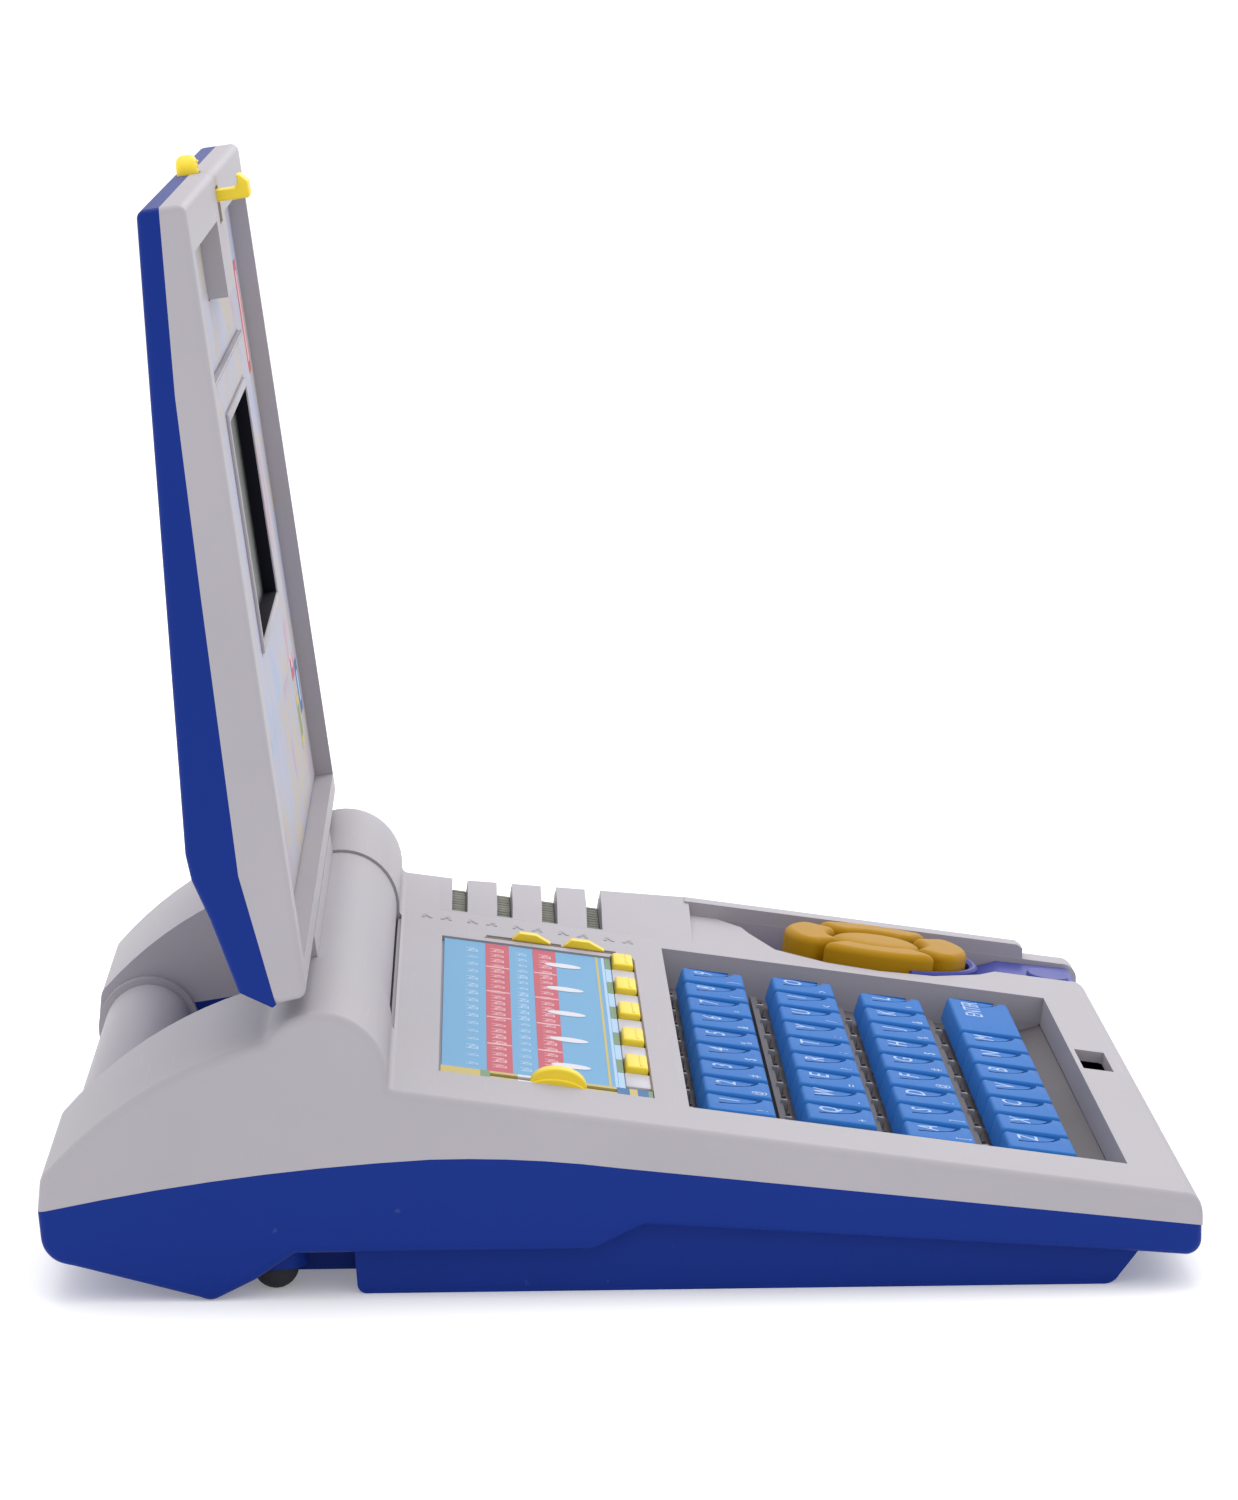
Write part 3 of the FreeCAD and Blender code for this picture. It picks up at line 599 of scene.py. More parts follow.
def ellipse_radius(half_x: float, half_v: float, angle: float) -> float:
    """The distance from an ellipse's middle to its edge at a polar angle."""
    return half_x * half_v / math.hypot(half_v * math.cos(angle), half_x * math.sin(angle))


def rounded_outline(x: Span, y: Span, radius: float, steps: int = 5, between: int = 0) -> list[Point]:
    """An anticlockwise rectangle with round corners.

    Args:
        x: low and high x.
        y: low and high y.
        radius: the corner radius.
        steps: points of each corner.
        between: points between one corner and the next.

    Returns:
        The outline's points.
    """
    corners = ((x[1] - radius, y[1] - radius, 0), (x[0] + radius, y[1] - radius, 90),
               (x[0] + radius, y[0] + radius, 180), (x[1] - radius, y[0] + radius, 270))
    points = []
    for cx, cy, start in corners:
        for a in sweep(start, start + 90, steps - 1):
            points.append((cx + radius * math.cos(a), cy + radius * math.sin(a)))
    if not between:
        return points
    full = []
    for i, here in enumerate(points):
        full.append(here)
        if i % steps == steps - 1:
            ahead = points[(i + 1) % len(points)]
            full += [(here[0] + (ahead[0] - here[0]) * k / (between + 1),
                      here[1] + (ahead[1] - here[1]) * k / (between + 1))
                     for k in range(1, between + 1)]
    return full


class Shape:
    """A mesh under construction, in the millimetres of one local frame."""

    def __init__(self, place: Place, *finishes: Finish) -> None:
        """Starts an empty mesh whose material numbers follow the finishes.

        Args:
            place: the local frame of its points.
            finishes: its finishes, in the order of their numbers.
        """
        self.mesh = bmesh.new()
        self.place = place
        self.finishes = finishes

    def adopt(self, part: bmesh.types.BMesh, finish: int = 0) -> "Shape":
        """Takes over a part's faces.

        Args:
            part: the part, which is freed.
            finish: the number of its finish.

        Returns:
            The shape itself.
        """
        bmesh.ops.recalc_face_normals(part, faces=part.faces)
        for face in part.faces:
            face.material_index = finish
        data = bpy.data.meshes.new("part")
        part.to_mesh(data)
        part.free()
        self.mesh.from_mesh(data)
        bpy.data.meshes.remove(data)
        return self

    def box(self, x: Span, y: Span, z: Span, finish: int = 0, bevel: float = 0.0,
            segments: int = 2) -> "Shape":
        """Adds a box with rounded edges.

        Args:
            x: low and high x.
            y: low and high y.
            z: low and high z.
            finish: the number of its finish.
            bevel: the edge radius.
            segments: faces across each rounded edge.

        Returns:
            The shape itself.
        """
        part = bmesh.new()
        scale = Matrix.Diagonal((x[1] - x[0], y[1] - y[0], z[1] - z[0], 1))
        middle = Vector(((x[0] + x[1]) / 2, (y[0] + y[1]) / 2, (z[0] + z[1]) / 2))
        bmesh.ops.create_cube(part, size=1.0, matrix=Matrix.Translation(middle) @ scale)
        if bevel:
            bmesh.ops.bevel(part, geom=part.edges[:], offset=bevel, segments=segments, profile=0.5,
                            affect="EDGES", clamp_overlap=True)
        return self.adopt(part, finish)

    def prism(self, outline: Sequence[Point], low: float, high: float, finish: int = 0,
              round_top: float = 0.0, segments: int = 3, axis: str = "z") -> "Shape":
        """Adds a prism of a closed outline.

        Args:
            outline: its points; for axis x they are (y, z), and otherwise (x, y).
            low: where it starts along the axis.
            high: where it ends.
            finish: the number of its finish.
            round_top: radius of the edges of the high end, or of both ends along x.
            segments: faces across each rounded edge.
            axis: "z" or "x".

        Returns:
            The shape itself.
        """
        part = bmesh.new()
        if axis == "x":
            base = [part.verts.new((low, y, z)) for y, z in outline]
            cap = [part.verts.new((high, y, z)) for y, z in outline]
        else:
            base = [part.verts.new((x, y, low)) for x, y in outline]
            cap = [part.verts.new((x, y, high)) for x, y in outline]
        part.faces.new(list(reversed(base)))
        top = part.faces.new(cap)
        count = len(outline)
        for i in range(count):
            j = (i + 1) % count
            part.faces.new((base[i], base[j], cap[j], cap[i]))
        bmesh.ops.recalc_face_normals(part, faces=part.faces)
        if round_top:
            edges = list(top.edges)
            if axis == "x":
                edges += [e for e in part.edges if all(v in base for v in e.verts)]
            bmesh.ops.bevel(part, geom=edges, offset=round_top, segments=segments, profile=0.5,
                            affect="EDGES", clamp_overlap=True)
        return self.adopt(part, finish)

    def rings(self, rings: Sequence[Sequence[Sequence[float]]], finish: int = 0) -> "Shape":
        """Adds a closed loft through rings of as many points each.

        Args:
            rings: lists of (x, y, z) points.
            finish: the number of its finish.

        Returns:
            The shape itself.
        """
        part = bmesh.new()
        rows = [[part.verts.new(p) for p in ring] for ring in rings]
        count = len(rows[0])
        for a, b in zip(rows, rows[1:]):
            for i in range(count):
                j = (i + 1) % count
                part.faces.new((a[i], a[j], b[j], b[i]))
        part.faces.new(list(reversed(rows[0])))
        part.faces.new(rows[-1])
        return self.adopt(part, finish)

    def text(self, words: str, size: float, centre: Sequence[float], finish: int,
             lift: Callable[[float, float], float]) -> "Shape":
        """Adds flat lettering.

        Args:
            words: the letters.
            size: their height.
            centre: their middle (x, y, z).
            finish: the number of its finish.
            lift: extra height at (x, y).

        Returns:
            The shape itself.
        """
        curve = bpy.data.curves.new("letters", "FONT")
        curve.body, curve.size, curve.extrude = words, size * LETTER_SCALE, INK_THICK / 2
        curve.align_x, curve.align_y = "CENTER", "CENTER"
        curve.resolution_u = 2
        holder = bpy.data.objects.new("letters", curve)
        bpy.context.scene.collection.objects.link(holder)
        data = evaluated(holder)
        bpy.data.objects.remove(holder)
        bpy.data.curves.remove(curve)
        for vertex in data.vertices:
            x, y = vertex.co.x + centre[0], vertex.co.y + centre[1]
            vertex.co = Vector((x, y, vertex.co.z + centre[2] + lift(x, y)))
        part = bmesh.new()
        part.from_mesh(data)
        bpy.data.meshes.remove(data)
        return self.adopt(part, finish)

    def copy_of(self, data: bpy.types.Mesh, move: Matrix | None = None) -> "Shape":
        """Adds another mesh with its own material numbers.

        Args:
            data: the mesh, in this frame's millimetres.
            move: where to put it, or None to leave it where it is.

        Returns:
            The shape itself.
        """
        moved = data.copy()
        if move is not None:
            moved.transform(move)
        self.mesh.from_mesh(moved)
        bpy.data.meshes.remove(moved)
        return self

    def data(self, name: str) -> bpy.types.Mesh:
        """The mesh in millimetres, for repeats; the shape is used up.

        Args:
            name: the mesh's name.

        Returns:
            The mesh.
        """
        made = bpy.data.meshes.new(name)
        self.mesh.to_mesh(made)
        self.mesh.free()
        for finish in self.finishes:
            made.materials.append(finish.material)
        return made

    def piece(self, name: str, body: str, slot: str, replaces: Sequence[str] = (),
              angle: float = 35.0) -> bpy.types.Object:
        """Finishes the mesh as a piece in the row frame.

        Args:
            name: the piece's name.
            body: the body that it rides on.
            slot: not used.
            replaces: the nodes that it stands for.
            angle: edges above this angle stay sharp.

        Returns:
            The piece.
        """
        made = self.data(name)
        made.transform(self.place.matrix)
        return settle(made, name, body, replaces, angle)


def carved(solid: bpy.types.Mesh, tool: bpy.types.Mesh) -> bpy.types.Mesh:
    """A mesh without another.

    Args:
        solid: the mesh that loses material; it is removed.
        tool: the mesh that is taken away; it is removed.

    Returns:
        The new mesh.
    """
    link = bpy.context.scene.collection.objects.link
    base, cutter = bpy.data.objects.new("base", solid), bpy.data.objects.new("cutter", tool)
    link(base)
    link(cutter)
    step = base.modifiers.new("carve", "BOOLEAN")
    step.operation, step.solver, step.object = "DIFFERENCE", "EXACT", cutter
    made = evaluated(base)
    for obj, data in ((base, solid), (cutter, tool)):
        bpy.data.objects.remove(obj)
        bpy.data.meshes.remove(data)
    return made


def skin(node: str, finish: Finish, body: str, angle: float = 32.0) -> bpy.types.Object:
    """A merged, smoothly shaded copy of a node's mesh.

    Args:
        node: the node that it stands for.
        finish: its finish.
        body: the body that it rides on.
        angle: edges above this angle stay sharp.

    Returns:
        The piece.
    """
    data = frame["nodes"][node].data.copy()
    work = bmesh.new()
    work.from_mesh(data)
    bmesh.ops.remove_doubles(work, verts=work.verts, dist=MERGE_GAP)
    bmesh.ops.dissolve_degenerate(work, edges=work.edges, dist=MERGE_GAP / 2)
    work.to_mesh(data)
    work.free()
    data.materials.clear()
    data.materials.append(finish.material)
    if "custom_normal" in data.attributes:
        data.attributes.remove(data.attributes["custom_normal"])
    return settle(data, node + "_skin", body, (node,), angle)


def dress(node: str, finish: Finish) -> None:
    """Gives a node that keeps its shape a finish.

    Args:
        node: the node's name.
        finish: the finish.
    """
    data = frame["nodes"][node].data
    data.materials.clear()
    data.materials.append(finish.material)
    log.info("%s: dressed in %s", node, finish.name)


# ---------------------------------------------------------------------------------------------
# Repeats
# ---------------------------------------------------------------------------------------------
class Repeat:
    """A Geometry Nodes tree that repeats its object's mesh, and turns the result into a mesh."""

    def __init__(self, name: str) -> None:
        """Starts the tree with its geometry sockets.

        Args:
            name: the tree's name.
        """
        self.tree = bpy.data.node_groups.new(name, "GeometryNodeTree")
        self.graph = Graph(self.tree)
        self.tree.interface.new_socket("Geometry", in_out="OUTPUT", socket_type="NodeSocketGeometry")
        self.tree.interface.new_socket("Geometry", in_out="INPUT", socket_type="NodeSocketGeometry")
        self.ports: dict[str, str] = {}

    def port(self, name: str, kind: str, default: Any = None) -> str:
        """Adds a named input.

        Args:
            name: the input's name.
            kind: its socket type.
            default: its first value.

        Returns:
            The name.
        """
        item = self.tree.interface.new_socket(name, in_out="INPUT", socket_type="NodeSocket" + kind)
        if default is not None:
            item.default_value = default
        self.ports[name] = item.identifier
        return name

    def close(self, instances: Wire, material: Wire) -> None:
        """Ends the tree in Realize Instances and Set Material.

        Args:
            instances: the copies.
            material: the finish that they get.
        """
        real = self.graph.add("GeometryNodeRealizeInstances", {}, {"Geometry": instances})
        dressed = self.graph.add("GeometryNodeSetMaterial", {}, {"Geometry": real, "Material": material})
        self.graph.add("NodeGroupOutput", {}, {0: dressed})

    def run(self, unit: Shape, name: str, values: Mapping[str, Any]) -> bpy.types.Mesh:
        """Repeats a unit.

        Args:
            unit: the shape that is repeated; it is used up.
            name: the name of the result.
            values: the tree's inputs by name.

        Returns:
            The plain mesh of all repeats, in the unit's millimetres.
        """
        holder = bpy.data.objects.new(name, unit.data(name + "_unit"))
        bpy.context.scene.collection.objects.link(holder)
        step = holder.modifiers.new(name, "NODES")
        step.node_group = self.tree
        for key, value in values.items():
            step[self.ports[key]] = value
        made = evaluated(holder)
        holder.modifiers.clear()
        unit_data = holder.data
        bpy.data.objects.remove(holder)
        bpy.data.meshes.remove(unit_data)
        made.name = name
        return made

    def piece(self, unit: Shape, name: str, body: str, slot: str, values: Mapping[str, Any],
              replaces: Sequence[str] = (), angle: float = 35.0) -> bpy.types.Object:
        """Repeats a unit and finishes the result as a piece.

        Args:
            unit: the shape that is repeated; it is used up.
            name: the piece's name.
            body: the body that it rides on.
            slot: not used.
            values: the tree's inputs by name.
            replaces: the nodes that it stands for.
            angle: edges above this angle stay sharp.

        Returns:
            The piece.
        """
        made = self.run(unit, name, values)
        made.transform(unit.place.matrix)
        return settle(made, name, body, replaces, angle)


class RowRepeat(Repeat):
    """Copies in a straight row, each with a small turn and stretch of its own."""

    def __init__(self) -> None:
        """Builds the tree."""
        super().__init__("row of copies")
        self.port("Count", "Int", 4)
        self.port("Start", "Vector", (0, 0, 0))
        self.port("Step", "Vector", (1, 0, 0))
        self.port("Length spread", "Float", 0.0)
        self.port("Seed", "Int", 7)
        self.port("Finish", "Material")
        g = self.graph
        source = self.tree.nodes.new("NodeGroupInput")
        wires = {s.name: Wire(g, s) for s in source.outputs if s.name}
        line = g.add("GeometryNodeMeshLine", {"mode": "OFFSET"},
                     {"Count": wires["Count"], "Start Location": wires["Start"], "Offset": wires["Step"]})
        spread = wires["Length spread"]
        scatter = g.add("FunctionNodeRandomValue", {"data_type": "FLOAT"},
                        {2: 1 - spread, 3: 1 + spread, "Seed": wires["Seed"]}, 1)
        stretch = g.add("ShaderNodeCombineXYZ", {}, {0: scatter, 1: 1.0, 2: 1.0})
        copies = g.add("GeometryNodeInstanceOnPoints", {},
                       {"Points": line, "Instance": wires["Geometry"], "Scale": stretch})
        self.close(copies, wires["Finish"])


class SpotRepeat(Repeat):
    """Copies on the points of a grid, turned by a seeded random angle, such as screws."""

    def __init__(self) -> None:
        """Builds the tree."""
        super().__init__("copies on spots")
        self.port("Spots", "Object")
        self.port("Turn spread", "Float", 0.0)
        self.port("Seed", "Int", 3)
        self.port("Finish", "Material")
        g = self.graph
        source = self.tree.nodes.new("NodeGroupInput")
        wires = {s.name: Wire(g, s) for s in source.outputs if s.name}
        spots = g.add("GeometryNodeObjectInfo", {"transform_space": "ORIGINAL"},
                      {"Object": wires["Spots"]}, "Geometry")
        scatter = g.add("FunctionNodeRandomValue", {"data_type": "FLOAT"},
                        {2: -1 * wires["Turn spread"], 3: wires["Turn spread"], "Seed": wires["Seed"]}, 1)
        turn = g.add("ShaderNodeCombineXYZ", {}, {0: 0.0, 1: 0.0, 2: scatter})
        copies = g.add("GeometryNodeInstanceOnPoints", {},
                       {"Points": spots, "Instance": wires["Geometry"], "Rotation": turn})
        self.close(copies, wires["Finish"])

    def spots(self, points: Iterable[Sequence[float]]) -> bpy.types.Object:
        """An object whose vertices are the spots.

        Args:
            points: the spots, in the frame of the unit that is copied.

        Returns:
            The object, to be removed after use.
        """
        data = bpy.data.meshes.new("spots")
        data.from_pydata([tuple(p) for p in points], [], [])
        obj = bpy.data.objects.new("spots", data)
        bpy.context.scene.collection.objects.link(obj)
        return obj


# ---------------------------------------------------------------------------------------------
# Sub-assemblies
# ---------------------------------------------------------------------------------------------
@dataclass
class Shells:
    """The grey and blue mouldings of base and lid, and the handle."""

    def build(self) -> None:
        """Makes the skins of the mouldings."""
        skin("upper_shell", Look.shell_grey, "base")
        skin("lower_shell", Look.shell_blue, "base")
        skin("handle_bar", Look.shell_grey, "base")
        skin("lid_front_bezel", Look.shell_grey, "lid")
        skin("lid_back_cover", Look.shell_blue, "lid")
        skin("dpad_tray", Look.violet, "base")


@dataclass
class Keyboard:
    """Key caps with a sunk leaf on each, and the plate with its fins between the rows.

    A cap's shoulder is given from its side up to its top, as drops below the top with the outline's
    inset and corner radius. Fins and the near-black blocks of painted shadow between the rows are
    outlines from the front corner of their own place.
    """

    pitch: float = 16.6
    width: float = 15.6
    depth: float = 15.2
    height: float = 5.3
    top: float = -1.5
    foot_corner: float = 0.5
    shoulder: tuple[tuple[float, float, float], ...] = (
        (0.75, 0.6, 0.9), (0.30, 0.78, 0.95), (0.08, 1.0, 0.95), (0.0, 1.35, 0.9))
    enter_units: float = 2.3
    leaf_sink: float = 0.35
    leaf_tip: float = -3.8
    leaf_reach: float = 7.0
    leaf_inset: float = 1.3
    groove: float = 1.8
    groove_sink: float = 0.9
    groove_narrow: float = 0.45
    cutter_reach: float = 3.0
    stem: tuple[float, float, float] = (4.5, 4.2, 5.6)
    letter: float = 4.5
    word: float = 4.2
    sign: float = 2.6
    letter_at: Point = (4.3, 2.0)
    sign_at: Point = (3.6, 3.4)
    ink_gap: float = 0.02
    rows: tuple[tuple[str, float, float], ...] = (
        ("123456789", -94.0, -25.7), ("qwertyuio", -91.0, -46.3),
        ("asdfghjkl", -96.0, -66.2), ("zxcvbnm", -93.5, -86.9))
    signs: str = "!@#$%&*()+-=?;:/<>[]"
    signed_keys: int = 27
    well: Span = (-102.0, 66.0)
    well_length: Span = (-102.4, -14.6)
    skirt: Span = (-9.3, -5.0)
    skirt_gap: float = 0.05
    skirt_thick: float = 0.95
    fin: tuple[Point, ...] = ((0, 0), (1.5, 0), (1.0, 1.5), (0.4, 1.5))
    fin_span: Span = (-8.9, -6.4)
    fin_at: Point = (5.0, 0.9)
    shadow_notch: tuple[Point, ...] = ((0, 0), (8.2, 0), (7.0, 1.6), (1.4, 1.6))
    shadow_notch_span: Span = (-8.95, -7.6)
    shadow_notch_at: Point = (6.4, 0.7)

    def sink(self, half_width: float) -> Callable[[float, float], float]:
        """How far the leaf lies below a key's top.

        Args:
            half_width: half the key's width.

        Returns:
            A function of a place on the key that gives the (negative) height.
        """
        rear = self.depth / 2
        edge = half_width - self.leaf_inset

        def height(x: float, v: float) -> float:
            """The height at one place.

            Args:
                x: its place across the deck.
                v: its place along the deck.

            Returns:
                The height.
            """
            across = (edge - x) / self.leaf_reach
            along = (rear - v) / (rear - self.leaf_tip)
            inside = across * across + along * along < 1
            return -self.leaf_sink * along if inside else 0.0
        return height

    def cutter(self, outline: Sequence[Point], sink: Callable[[float], float], finish: int,
               name: str) -> bpy.types.Mesh:
        """A cutter that stands on a sloping floor below a cap's top.

        Args:
            outline: its outline.
            sink: how far its floor lies below the top, by v.
            finish: the number of the finish that it leaves behind.
            name: its name.

        Returns:
            The mesh in millimetres.
        """
        shape = Shape(Place.DECK, Look.key_blue, Look.paint, Look.key_groove_painted_shade)
        shape.rings([[(x, v, self.top - sink(v)) for x, v in outline],
                     at_height(outline, self.top + self.cutter_reach)], finish)
        return shape.data(name)

    def cap(self, width: float, stem_x: float) -> bpy.types.Mesh:
        """One cap about its own middle.

        Args:
            width: the cap's width.
            stem_x: half the stem's width.

        Returns:
            The mesh in millimetres.
        """
        hx, hv, top, low = width / 2, self.depth / 2, self.top, self.top - self.height
        solid = Shape(Place.DECK, Look.key_blue, Look.paint, Look.key_groove_painted_shade)
        levels = [(low, 0.0, self.foot_corner)]
        levels += [(top - drop, inset, corner) for drop, inset, corner in self.shoulder]
        solid.rings([at_height(rounded_outline((-hx + inset, hx - inset), (-hv + inset, hv - inset),
                                               corner), w) for w, inset, corner in levels])
        rear, edge, reach = hv, hx - self.leaf_inset, hv - self.leaf_tip
        turns = sweep(0, 90, 12)
        curve = [(edge - self.leaf_reach * math.sin(a), rear - reach * math.cos(a)) for a in turns]
        leaf = [(edge, self.leaf_tip)] + curve[1:]
        leaf += [(edge - self.leaf_reach, rear + 1), (edge, rear + 1)]
        made = carved(solid.data("cap"),
                      self.cutter(leaf, lambda v: self.leaf_sink * (rear - v) / reach, 0, "leaf"))
        # the groove along the leaf's edge, widest at its tip; its floor takes the near-black blue, which is
        # painted shade
        outer, inner = [], []
        for a, (x, v) in list(zip(turns, curve))[:11]:
            wide = self.groove * (self.groove_narrow + (1 - self.groove_narrow) * math.cos(a))
            outer.append((x - wide * math.sin(a), v - 0.5 * wide * math.cos(a) - 0.05))
            inner.append((x + 0.1, v + 0.1))
        trace = [(edge + 1.1, self.leaf_tip - self.groove * 0.6)] + outer + inner[::-1]
        trace += [(edge + 1.1, self.leaf_tip + 0.5)]
        made = carved(made, self.cutter(
            trace, lambda v: self.groove_sink * max(0.1, (rear - v) / reach), 2, "groove"))
        whole = Shape(Place.DECK, Look.key_blue, Look.paint, Look.key_groove_painted_shade)
        whole.copy_of(made)
        bpy.data.meshes.remove(made)
        sx, sv, drop = stem_x, self.stem[1], self.stem[2]
        whole.box((-sx, sx), (-sv, sv), (low - drop, low + 0.4), bevel=0.3)
        return whole.data("key_cap")

    def build_keys(self) -> None:
        """Makes all keys with their legends."""
        narrow = self.cap(self.width, self.stem[0])
        enter_width = (self.enter_units - 1) * self.pitch + self.width
        wide = self.cap(enter_width, self.stem[0] + self.pitch / 2)
        number = 0
        for names, left, v in self.rows:
            for i, name in enumerate(names):
                middle = left + self.pitch * (i + 0.5)
                sign = self.signs[number % len(self.signs)] if number < self.signed_keys else ""
                self.key(name, name.upper(), sign, narrow, middle, v, self.width, self.letter)
                number += 1
        names, left, v = self.rows[3]
        middle = left + self.pitch * (len(names) + self.enter_units / 2)
        self.key("enter", "ENTER", "", wide, middle, v, enter_width, self.word)
        for data in (narrow, wide):
            bpy.data.meshes.remove(data)

    def key(self, name: str, legend: str, sign: str, cap: bpy.types.Mesh, x: float, v: float,
            width: float, size: float) -> None:
        """Makes one key.

        Args:
            name: the end of its node's name.
            legend: the large lettering.
            sign: the small lettering.
            cap: the cap's mesh.
            x: its middle across the deck.
            v: its middle along the deck.
            width: its width.
            size: the height of the large lettering.
        """
        shape = Shape(Place.DECK, Look.key_blue, Look.paint, Look.key_groove_painted_shade)
        shape.copy_of(cap, Matrix.Translation(Vector((x, v, 0))))
        lift = self.sink(width / 2)

        def on_key(px: float, pv: float) -> float:
            """The leaf's height at a place on the deck."""
            return lift(px - x, pv - v)
        inward = self.letter_at[0] + 0.42 * size * (len(legend) - 1)
        at = (x + width / 2 - inward, v + self.letter_at[1], self.top + self.ink_gap)
        shape.text(legend, size, at, 1, on_key)
        if sign:
            at = (x - width / 2 + self.sign_at[0], v - self.depth / 2 + self.sign_at[1],
                  self.top + self.ink_gap + 0.01)
            shape.text(sign, self.sign, at, 1, on_key)
        shape.piece("key_" + name + "_cap", "cap_" + name, "key_blue", ("key_" + name,), angle=38)

    def build_plate(self, row: RowRepeat) -> None:
        """Makes the plate, the well's skirt, and the fins and near-black blocks of painted shadow in front of
        each row.

        Args:
            row: the tree that makes rows of copies.
        """
        skin("keyboard_plate", Look.plate, "base")
        skirt = Shape(Place.DECK, Look.shell_grey)
        for side, way in ((self.well[1], 1), (self.well[0], -1)):
            near, far = side + way * self.skirt_gap, side + way * (self.skirt_gap + self.skirt_thick)
            skirt.box((min(near, far), max(near, far)), self.well_length, self.skirt)
        skirt.piece("well_skirt", "base", "shell_grey")
        for number, (names, left, v) in enumerate(self.rows):
            count = len(names) + (2 if len(names) < 9 else 0)
            edge = v + self.depth / 2
            fin = Shape(Place.DECK, Look.fin)
            fin.prism(self.fin, *self.fin_span, round_top=0.25, segments=2)
            row.piece(fin, f"row_{number + 1}_fins", "base", "plate_grey",
                      {"Count": count, "Start": (left + self.fin_at[0], edge + self.fin_at[1], 0.0),
                       "Step": (self.pitch, 0.0, 0.0), "Finish": Look.fin.material,
                       "Length spread": 0.12, "Seed": 5 + number})
            # near-black blocks between the rows: painted shadow in the gaps
            shadow_notch = Shape(Place.DECK, Look.dark)
            shadow_notch.prism(self.shadow_notch, *self.shadow_notch_span, round_top=0.1, segments=1)
            row.piece(shadow_notch, f"row_{number + 1}_notches", "base", "plate_grey",
                      {"Count": count,
                       "Start": (left + self.shadow_notch_at[0], edge + self.shadow_notch_at[1], 0.0),
                       "Step": (self.pitch, 0.0, 0.0), "Finish": Look.dark.material,
                       "Length spread": 0.0, "Seed": 1})

    def build(self, row: RowRepeat) -> None:
        """Makes the keyboard.

        Args:
            row: the tree that makes rows of copies.
        """
        self.build_keys()
        self.build_plate(row)
        dress("key_membrane", Look.membrane)
        dress("main_board", Look.board)


